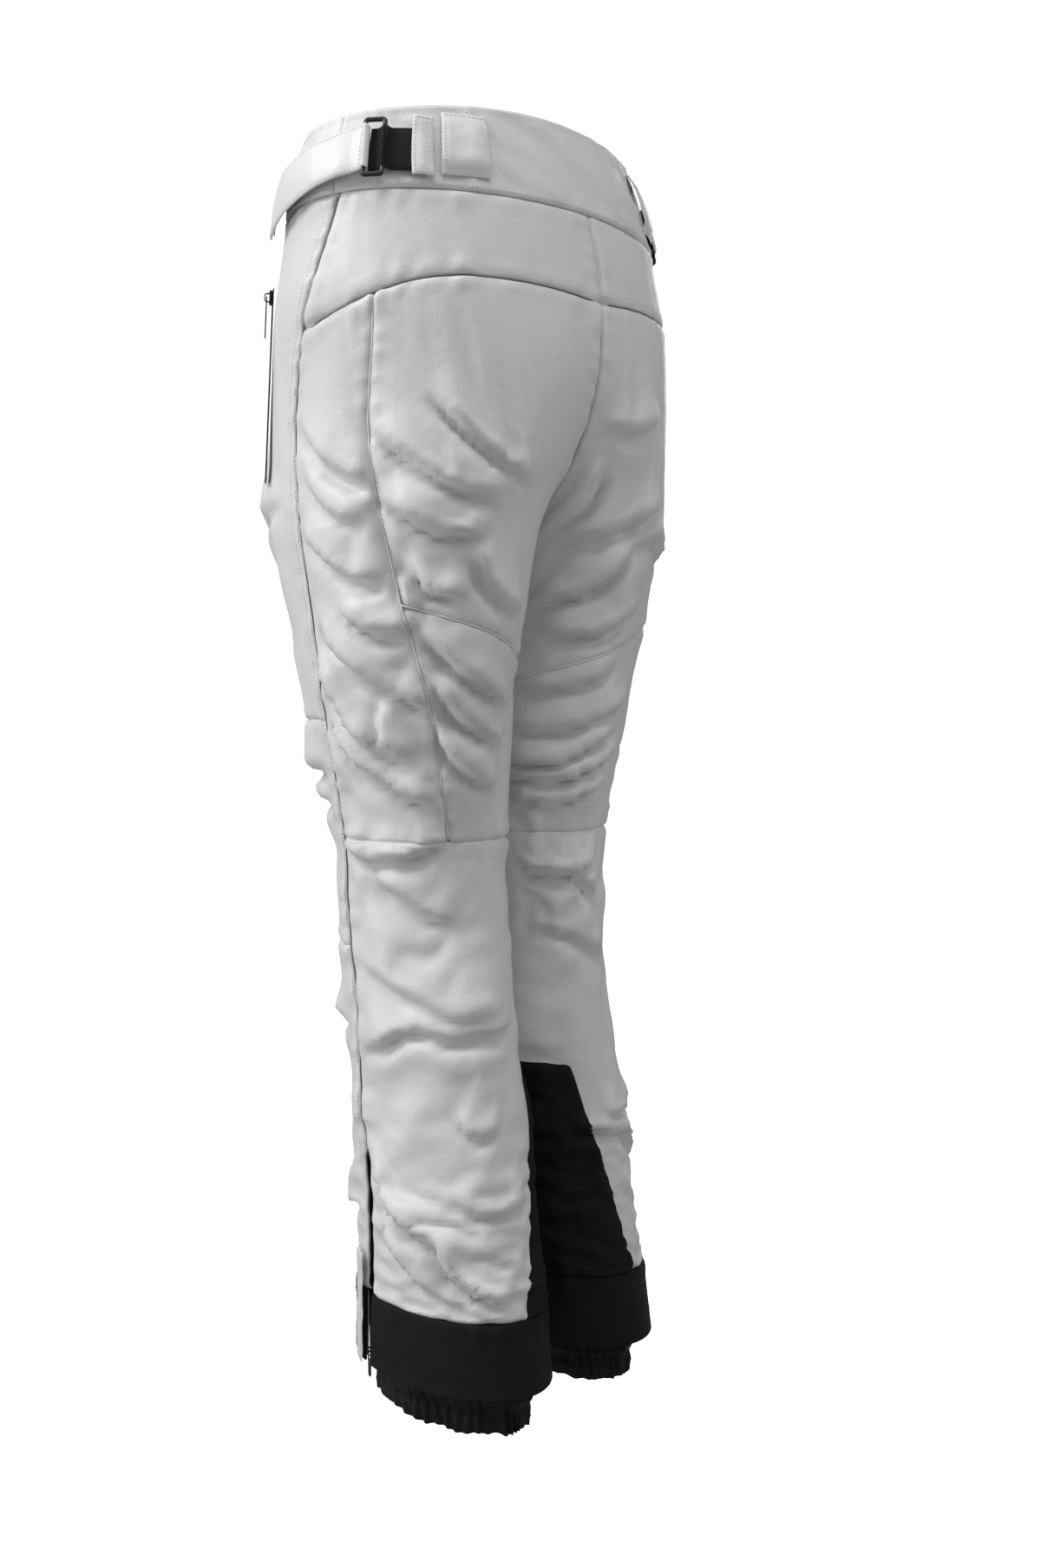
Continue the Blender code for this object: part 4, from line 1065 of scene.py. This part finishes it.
def adjuster(side, word):
    tab_body = f"adjuster_tab_{word}"
    base = 0.5 * (TAB_LOW + TAB_HIGH)
    origin, out_way, forwards, up = ring_frame()

    def elastic(s, t, out):
        """Ribbed elastic that comes out of the patch and turns over the ring's rear bar."""
        ribs = 0.00016 * np.cos(t * WEB_WIDE / 0.0024 * 2 * PI)
        angle = RING_ANGLE - 0.034 + 0.269 * s
        over = bell(angle - RING_ANGLE - RING_REACH / WAIST_RADIUS, 0.022)
        return on_waist(angle, TAB_LOW + 0.001 + WEB_WIDE * t, out + 0.0038 + 0.0062 * over + ribs, base)

    strap(f"webbing_{word}", side, elastic, WEB_WIDE, 0.030, 0.0016, WEBBING, cell=0.0008,
          replaces=[f"adjuster_elastic_{word}"], crown=0.0001, ripple=0.0001)

    def anchor(s, t, out):
        sag = 0.0008 * noise3(s * 2, t * 3, 8.0, 75)
        stand = out + 0.0052 + sag - 0.0022 * step_up(s, 0.35, 1.0)
        return on_waist(0.625 + 0.115 * s, -0.059 + PATCH_WIDE * t, stand, base)

    strap(f"anchor_patch_{word}", side, anchor, PATCH_WIDE, 0.016, 0.0014, SHELL)
    strap_stitches(f"anchor_stitches_{word}", side, anchor, PATCH_WIDE, 0.016, 0.0022, THREAD)

    corner, half_w, half_h = 0.0022, RING_REACH, RING_HALF_HIGH + RING_BAR / 2
    path = []
    for k, (a, b) in enumerate(((1, 1), (-1, 1), (-1, -1), (1, -1))):
        for turn in np.linspace(k * PI / 2, (k + 1) * PI / 2, 7):
            path.append(origin + forwards * (a * (half_w - corner) + corner * math.cos(turn))
                        + up * (b * (half_h - corner) + corner * math.sin(turn)))
    path = np.array(path)
    outwards = np.repeat(out_way[None], len(path), 0)
    ring = tube(f"ring_{word}", mirrored(path, side), mirrored(outwards, side), 0.0020, RING,
                12, 0.80, closed=True)
    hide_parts(f"adjuster_ring_{word}")

    start = RING_ANGLE - RING_REACH / WAIST_RADIUS

    def tab(s, t, out):
        angle = start + (TAB_TIP_ANGLE - start) * s
        half = 0.5 * (TAB_HIGH - TAB_LOW) * (1 - 0.30 * s**3)
        half = half * (1 - 0.35 * step_up(s, 0.93, 1.0) * (2 * t - 1) ** 2)
        z = base - TAB_DROP * s**1.4 + half * (2 * t - 1)
        wave = 0.0008 * np.sin(s * 9 + t * 2) + 0.0010 * noise3(s * 5, t * 1.5, side * 1.0, 77)
        over_bar = 0.0034 * bell(s, 0.05)
        return on_waist(angle, z, out + 0.0076 + over_bar + TAB_LIFT * s + wave * step_up(s, 0, 0.15), z)

    strap(f"cloth_tab_{word}", side, tab, TAB_WIDE, TAB_LONG, 0.0024, SHELL, tab_body,
          replaces=[f"adjuster_tab_{word}"], crown=0.0003)
    strap_stitches(f"tab_stitches_{word}", side, tab, TAB_WIDE, TAB_LONG, 0.0026, THREAD,
                   tab_body)

    def fold(s, t, out):
        """The end of the tab, turned round the ring's front bar."""
        turn = -0.35 + (PI + 0.5) * s
        radius = 0.0040 + out
        spot = origin + forwards * RING_REACH
        spot = spot + out_way * (radius * np.cos(turn))[..., None]
        spot = spot - forwards * (radius * np.sin(turn))[..., None]
        return spot + up * ((2 * t - 1) * 0.0186)[..., None]

    strap(f"tab_fold_{word}", side, fold, TAB_WIDE, 0.0120, 0.0012, SHELL, tab_body,
          cell=0.0012, crown=0.0, ripple=0.0)

    def hook(s, t, out):
        return tab(0.60 + 0.36 * s, 0.14 + 0.72 * t, out - 0.0027)

    strap(f"hook_{word}", side, hook, 0.026, 0.046, 0.0009, HOOK, tab_body,
          replaces=[f"hook_patch_{word}"], crown=0.0)

    def loop(s, t, out):
        return on_waist(TAB_TIP_ANGLE + 0.05 + 0.47 * s, -0.060 + 0.036 * t, out + 0.0028, -0.042)

    strap(f"loop_{word}", side, loop, 0.036, 0.062, 0.0012, HOOK,
          replaces=[f"loop_patch_{word}"], crown=0.0002)


# ---------------------------------------------------------------- zips
def refined(node, material, body, bevel=0.00025):
    """The CAD piece with its edges rounded, in place of the sharp one."""
    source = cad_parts[node]
    mesh = source.data.copy()
    mesh.name = "fine_" + node
    work = bmesh.new()
    work.from_mesh(mesh)
    bmesh.ops.remove_doubles(work, verts=work.verts, dist=1e-6)
    bmesh.ops.dissolve_limit(work, angle_limit=0.02, verts=work.verts, edges=work.edges)
    sharp = [e for e in work.edges if len(e.link_faces) == 2 and e.calc_face_angle(0) > 0.45]
    bmesh.ops.bevel(work, geom=sharp, offset=bevel, segments=2, profile=0.5, affect="EDGES", clamp_overlap=True)
    bmesh.ops.triangulate(work, faces=work.faces)
    work.to_mesh(mesh)
    work.free()
    made = bpy.data.objects.new("fine_" + node, mesh)
    mesh.shade_smooth()
    mesh.set_sharp_from_angle(angle=math.radians(50))
    set_uv(mesh, np.array([(v.co.x + v.co.y, v.co.z) for v in mesh.vertices]))
    dress(made, material, body)
    made.matrix_world = source.matrix_world.copy()
    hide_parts(node)
    return made


def zip_frame(node):
    """Where a tape runs, read from its CAD solid: centre, directions, ends, half width and front."""
    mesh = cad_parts[node].data
    co = np.array([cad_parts[node].matrix_world @ v.co for v in mesh.vertices])
    centre = co.mean(0)
    _, _, ways = np.linalg.svd(co - centre, full_matrices=False)
    along, across, out = ways
    if along[2] < 0:
        along = -along
    if out @ np.array([centre[0], centre[1] - 0.02, 0]) < 0:
        out = -out
    across = np.cross(out, along)
    run, wide, high = (co - centre) @ along, (co - centre) @ across, (co - centre) @ out
    return centre, along, across, out, run.min(), run.max(), wide.max(), high.max()


def zip_tape(node):
    """Two woven tapes with ribbed edges, and the coil: pairs of small teeth that lock down the middle."""
    centre, along, across, out, low, high, half, front = zip_frame(node)
    face = front - 0.0014
    s, t = np.meshgrid(np.linspace(0, 1, 60), spaced(2 * half, 0.0014))
    run, wide = low + (high - low) * s, half * (2 * t - 1)
    rib = 0.00018 * bell(np.abs(wide) - half + 0.0016, 0.0006) + 0.00012 * bell(np.abs(wide) - 0.0040, 0.0005)
    top = centre + along * run[..., None] + across * wide[..., None] + out * (face + rib)[..., None]
    under = top - out * 0.0007
    uv = np.stack([wide, run], -1)
    made = grid_mesh(f"tape_{node}", top, under, uv, False, TAPE, turn_out=True)
    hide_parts(node)
    pitch = 0.0013
    marks = np.arange(low + 0.001, high - 0.001, pitch)
    places, ways, ups = [], [], []
    for k, mark in enumerate(marks):
        for hand in (-1, 1):
            place = centre + along * (mark + hand * pitch / 4) + across * hand * 0.0009
            places.append(place + out * (face + 0.0004))
            lean = across * hand + along * 0.12
            ways.append(lean / np.linalg.norm(lean))
            ups.append(out)
    stitch_mesh(f"coil_{node}", np.array(places), np.array(ways), np.array(ups), 0.0026, 0.00095, TAPE)
    edge = []
    for hand in (-1, 1):
        line = centre + along * np.linspace(low, high, 80)[:, None] + across * hand * 0.0062 * half / 0.0105
        line = line + out * (face + 0.0003)
        edge.append((line, np.repeat(out[None], 80, 0)))
    joined_stitches(f"tape_stitches_{node}", edge, DARK_THREAD, 0.0022, 0.0004, 0.0030)


def zips():
    for kind in ("ankle", "pocket", "fly"):
        for word in (("left", "right") if kind != "fly" else ("",)):
            tail = f"_{word}" if word else ""
            zip_tape(f"{kind}_zip_tape{tail}")
            refined(f"{kind}_zip_slider{tail}", ENAMEL, f"{kind}_slider{tail}")
            refined(f"{kind}_zip_pull{tail}", PULL, f"{kind}_pull{tail}")


# ---------------------------------------------------------------- gaiter, placket and waist closure
def gaiter(side, word):
    """A gathered sleeve: fine pleats that deepen towards the elastic, and a ruffled lower edge."""
    around, up = 520, 44
    angle = np.linspace(0, 2 * PI, around, endpoint=False)[None, :]
    t = np.linspace(0, 1, up)[:, None]
    z = GAITER_TOP + (GAITER_BOTTOM + 0 * angle - GAITER_TOP) * t
    inside = 0.0095 + 0.0105 * t**2 + 0 * angle
    phase = angle * 44 + 7.0 * noise3(np.cos(angle) * 3, np.sin(angle) * 3, t * 1.6, 81)
    loose = np.clip(0.55 + 0.8 * noise3(np.cos(angle) * 7, np.sin(angle) * 7, t * 4, 83), 0.1, 1.3)
    depth = 0.0013 * step_up(t, 0.15, 0.75) * loose
    cinch = 0.0022 * bell(t - 0.86, 0.035) - 0.0016 * bell(t - 0.80, 0.025) - 0.0016 * bell(t - 0.93, 0.025)
    flare = -0.0016 * step_up(t, 0.93, 1.0)
    inside = inside + depth * np.sin(phase) + cinch * 0.8 + flare + 0.0012 * noise3(angle * 3, t * 6, side, 85)
    held = np.maximum(z, HEM)
    point = body_point(angle + 0 * t, held) - body_out(angle + 0 * t, held) * inside[..., None]
    point[..., 2] = z + 0.0014 * noise3(np.cos(angle) * 6, np.sin(angle) * 6, 1.0, 87) * step_up(t, 0.6, 1.0)
    thin = body_out(angle + 0 * t, held) * 0.0008
    uv = np.stack([(angle + 0 * t) * 0.09, z], -1)
    made = grid_mesh(f"cloth_gaiter_{word}", mirrored(point, side), mirrored(point - thin, side), uv, side < 0,
                     GAITER, closed_around=True, turn_out=True)
    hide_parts(f"gaiter_{word}")


def placket(side, word):
    """The pale facing just inside the front edge of the ankle zip."""
    def start(z):
        return side_seam(z) - 0.30

    def end(z):
        return side_seam(z) - 0.085

    edges = (start, end, flat(HEM + 0.004), flat(ANKLE_ZIP_TOP - 0.004))
    panel(f"cloth_gusset_{word}", side, edges, f"ankle_gusset_{word}", (0, 0, 0, 0), PALE,
          -0.0030, 0.0010)


def placket_edge(side, word):
    """A white strip bound over the front edge of the zip, down across the black hem band."""
    low, high = HEM - 0.001, BAND_TOP + 0.030

    def surface(s, t, out):
        z = low + (high - low) * s
        reach = side_seam(z) - (0.0050 + 0.0160 * (1 - t)) / speed(side_seam(z), z)
        roll = 0.0012 * bell(t - 0.9, 0.12) + 0.0006 * noise3(t * 2, s * 9, side, 91)
        return body_point(reach, z) + body_out(reach, z) * (out + 0.0030 + roll)[..., None]

    strap(f"placket_edge_{word}", side, surface, 0.0160, high - low, 0.0012, SHELL, cell=0.002)
    strap_stitches(f"placket_stitches_{word}", side, surface, 0.0160, high - low, 0.0018, THREAD,
                   ends=(False, False))


def closure():
    """The tab over the fly, with its stitching, its snap cap and the stud under it."""
    start, end = -PI / 2 - 0.11, -PI / 2 + 0.22

    def tab(s, t, out):
        half = 0.020 * (1 - 0.3 * step_up(s, 0.88, 1.0) * (2 * t - 1) ** 2)
        return on_waist(start + (end - start) * s, -0.030 + half * (2 * t - 1), out + 0.0070, -0.030)

    strap("cloth_closure_tab", 1, tab, 0.040, 0.055, 0.0024, SHELL, "closure_tab",
          replaces=["closure_tab"])
    strap_stitches("closure_stitches", 1, tab, 0.040, 0.055, 0.0026, THREAD, "closure_tab")
    refined("snap_cap", PLATED, "closure_tab", 0.0004)
    refined("snap_stud", PLATED, BODY, 0.0003)


waistband()
for side, word in SIDES:
    for place, middle, half in (("back", 0.90, 0.12), ("front", -1.05, 0.070)):
        belt_loop(side, word, place, middle, half)
    adjuster(side, word)
    gaiter(side, word)
    placket(side, word)
    placket_edge(side, word)
zips()
closure()


# ---------------------------------------------------------------- stage, light and camera
PAPER_GLOW = 0.75       # the sweep is lit on its own, so that it comes out white
CAMERA_AZIMUTH, CAMERA_DISTANCE, CAMERA_HEIGHT = 134, 1.31, -0.44


def stage():
    """A pale round floor that curves up into a wall on every side."""
    low, reach, bend, height, around = -1.16, 7.0, 2.0, 7.0, 96
    line = [(0.02, 0.0), (1.0, 0.0), (3.0, 0.0), (reach - bend, 0.0)]
    for a in np.linspace(0.1, PI / 2, 14):
        line.append((reach - bend * (1 - math.sin(a)), bend * (1 - math.cos(a))))
    line += [(reach, height)]
    turns = [2 * PI * k / around for k in range(around)]
    points = [(r * math.cos(a), r * math.sin(a), low + up) for r, up in line for a in turns]
    faces = []
    for row in range(len(line) - 1):
        for k in range(around):
            after = (k + 1) % around
            low_row, high_row = row * around, (row + 1) * around
            faces.append((low_row + k, low_row + after, high_row + after, high_row + k))
    faces.append(tuple(range(around))[::-1])
    sweep = plain_object("studio_sweep", points, faces)
    sweep.data.shade_smooth()
    s = Shader("paper")
    s.link(s.ramp(s.noise(3.0, 3), [(0.3, (0.90, 0.90, 0.90)), (0.7, (0.93, 0.93, 0.93))]), "Base Color")
    s.set(Roughness=0.9, Emission_Color=(1, 1, 1, 1), Emission_Strength=PAPER_GLOW)
    sweep.data.materials.append(s.material)
    sweep.visible_diffuse = sweep.visible_glossy = False      # it would light the cloth and flatten its folds


def soft_light(name, azimuth, height, distance, size, power, target=-0.45, colour=(1, 1, 1)):
    light = bpy.data.lights.new(name, "AREA")
    light.shape = "RECTANGLE"
    light.size, light.size_y = size
    light.energy = power
    light.color = colour
    made = bpy.data.objects.new(name, light)
    a = math.radians(azimuth)
    place = Vector((math.sin(a) * distance, -math.cos(a) * distance, height))
    made.location = place
    made.rotation_euler = (Vector((0, 0, target)) - place).to_track_quat("-Z", "Y").to_euler()
    bpy.context.scene.collection.objects.link(made)


def lights():
    soft_light("key", 66, 1.5, 2.2, (0.9, 1.2), 50, colour=(1.0, 0.975, 0.97))
    soft_light("low_left", 58, -0.75, 2.3, (0.5, 1.3), 15)
    soft_light("fill", 196, 0.9, 2.6, (1.2, 1.6), 11, colour=(0.96, 1.0, 0.98))
    soft_light("top", 134, 1.9, 0.9, (1.2, 1.2), 20, colour=(1.0, 0.97, 0.97))
    soft_light("far_side", 305, 0.8, 2.6, (1.4, 1.8), 46)
    world = bpy.data.worlds.new("studio")
    world.use_nodes = True
    world.node_tree.nodes["Background"].inputs["Color"].default_value = (0.94, 0.985, 0.98, 1)
    world.node_tree.nodes["Background"].inputs["Strength"].default_value = 0.31
    bpy.context.scene.world = world
    bpy.context.scene.view_settings.view_transform = "Standard"


def camera():
    """Level, behind the wearer's left hip, with the picture's framing set by a small shift."""
    data = bpy.data.cameras.new("view")
    data.sensor_width = 36
    data.lens = 34.3
    data.shift_x, data.shift_y = 0.028, -0.071
    data.clip_end = 60
    made = bpy.data.objects.new("view", data)
    a = math.radians(CAMERA_AZIMUTH)
    made.location = (CAMERA_DISTANCE * math.sin(a), -CAMERA_DISTANCE * math.cos(a), CAMERA_HEIGHT)
    made.rotation_euler = (PI / 2, 0, a)
    bpy.context.scene.collection.objects.link(made)
    bpy.context.scene.camera = made


stage()
lights()
camera()
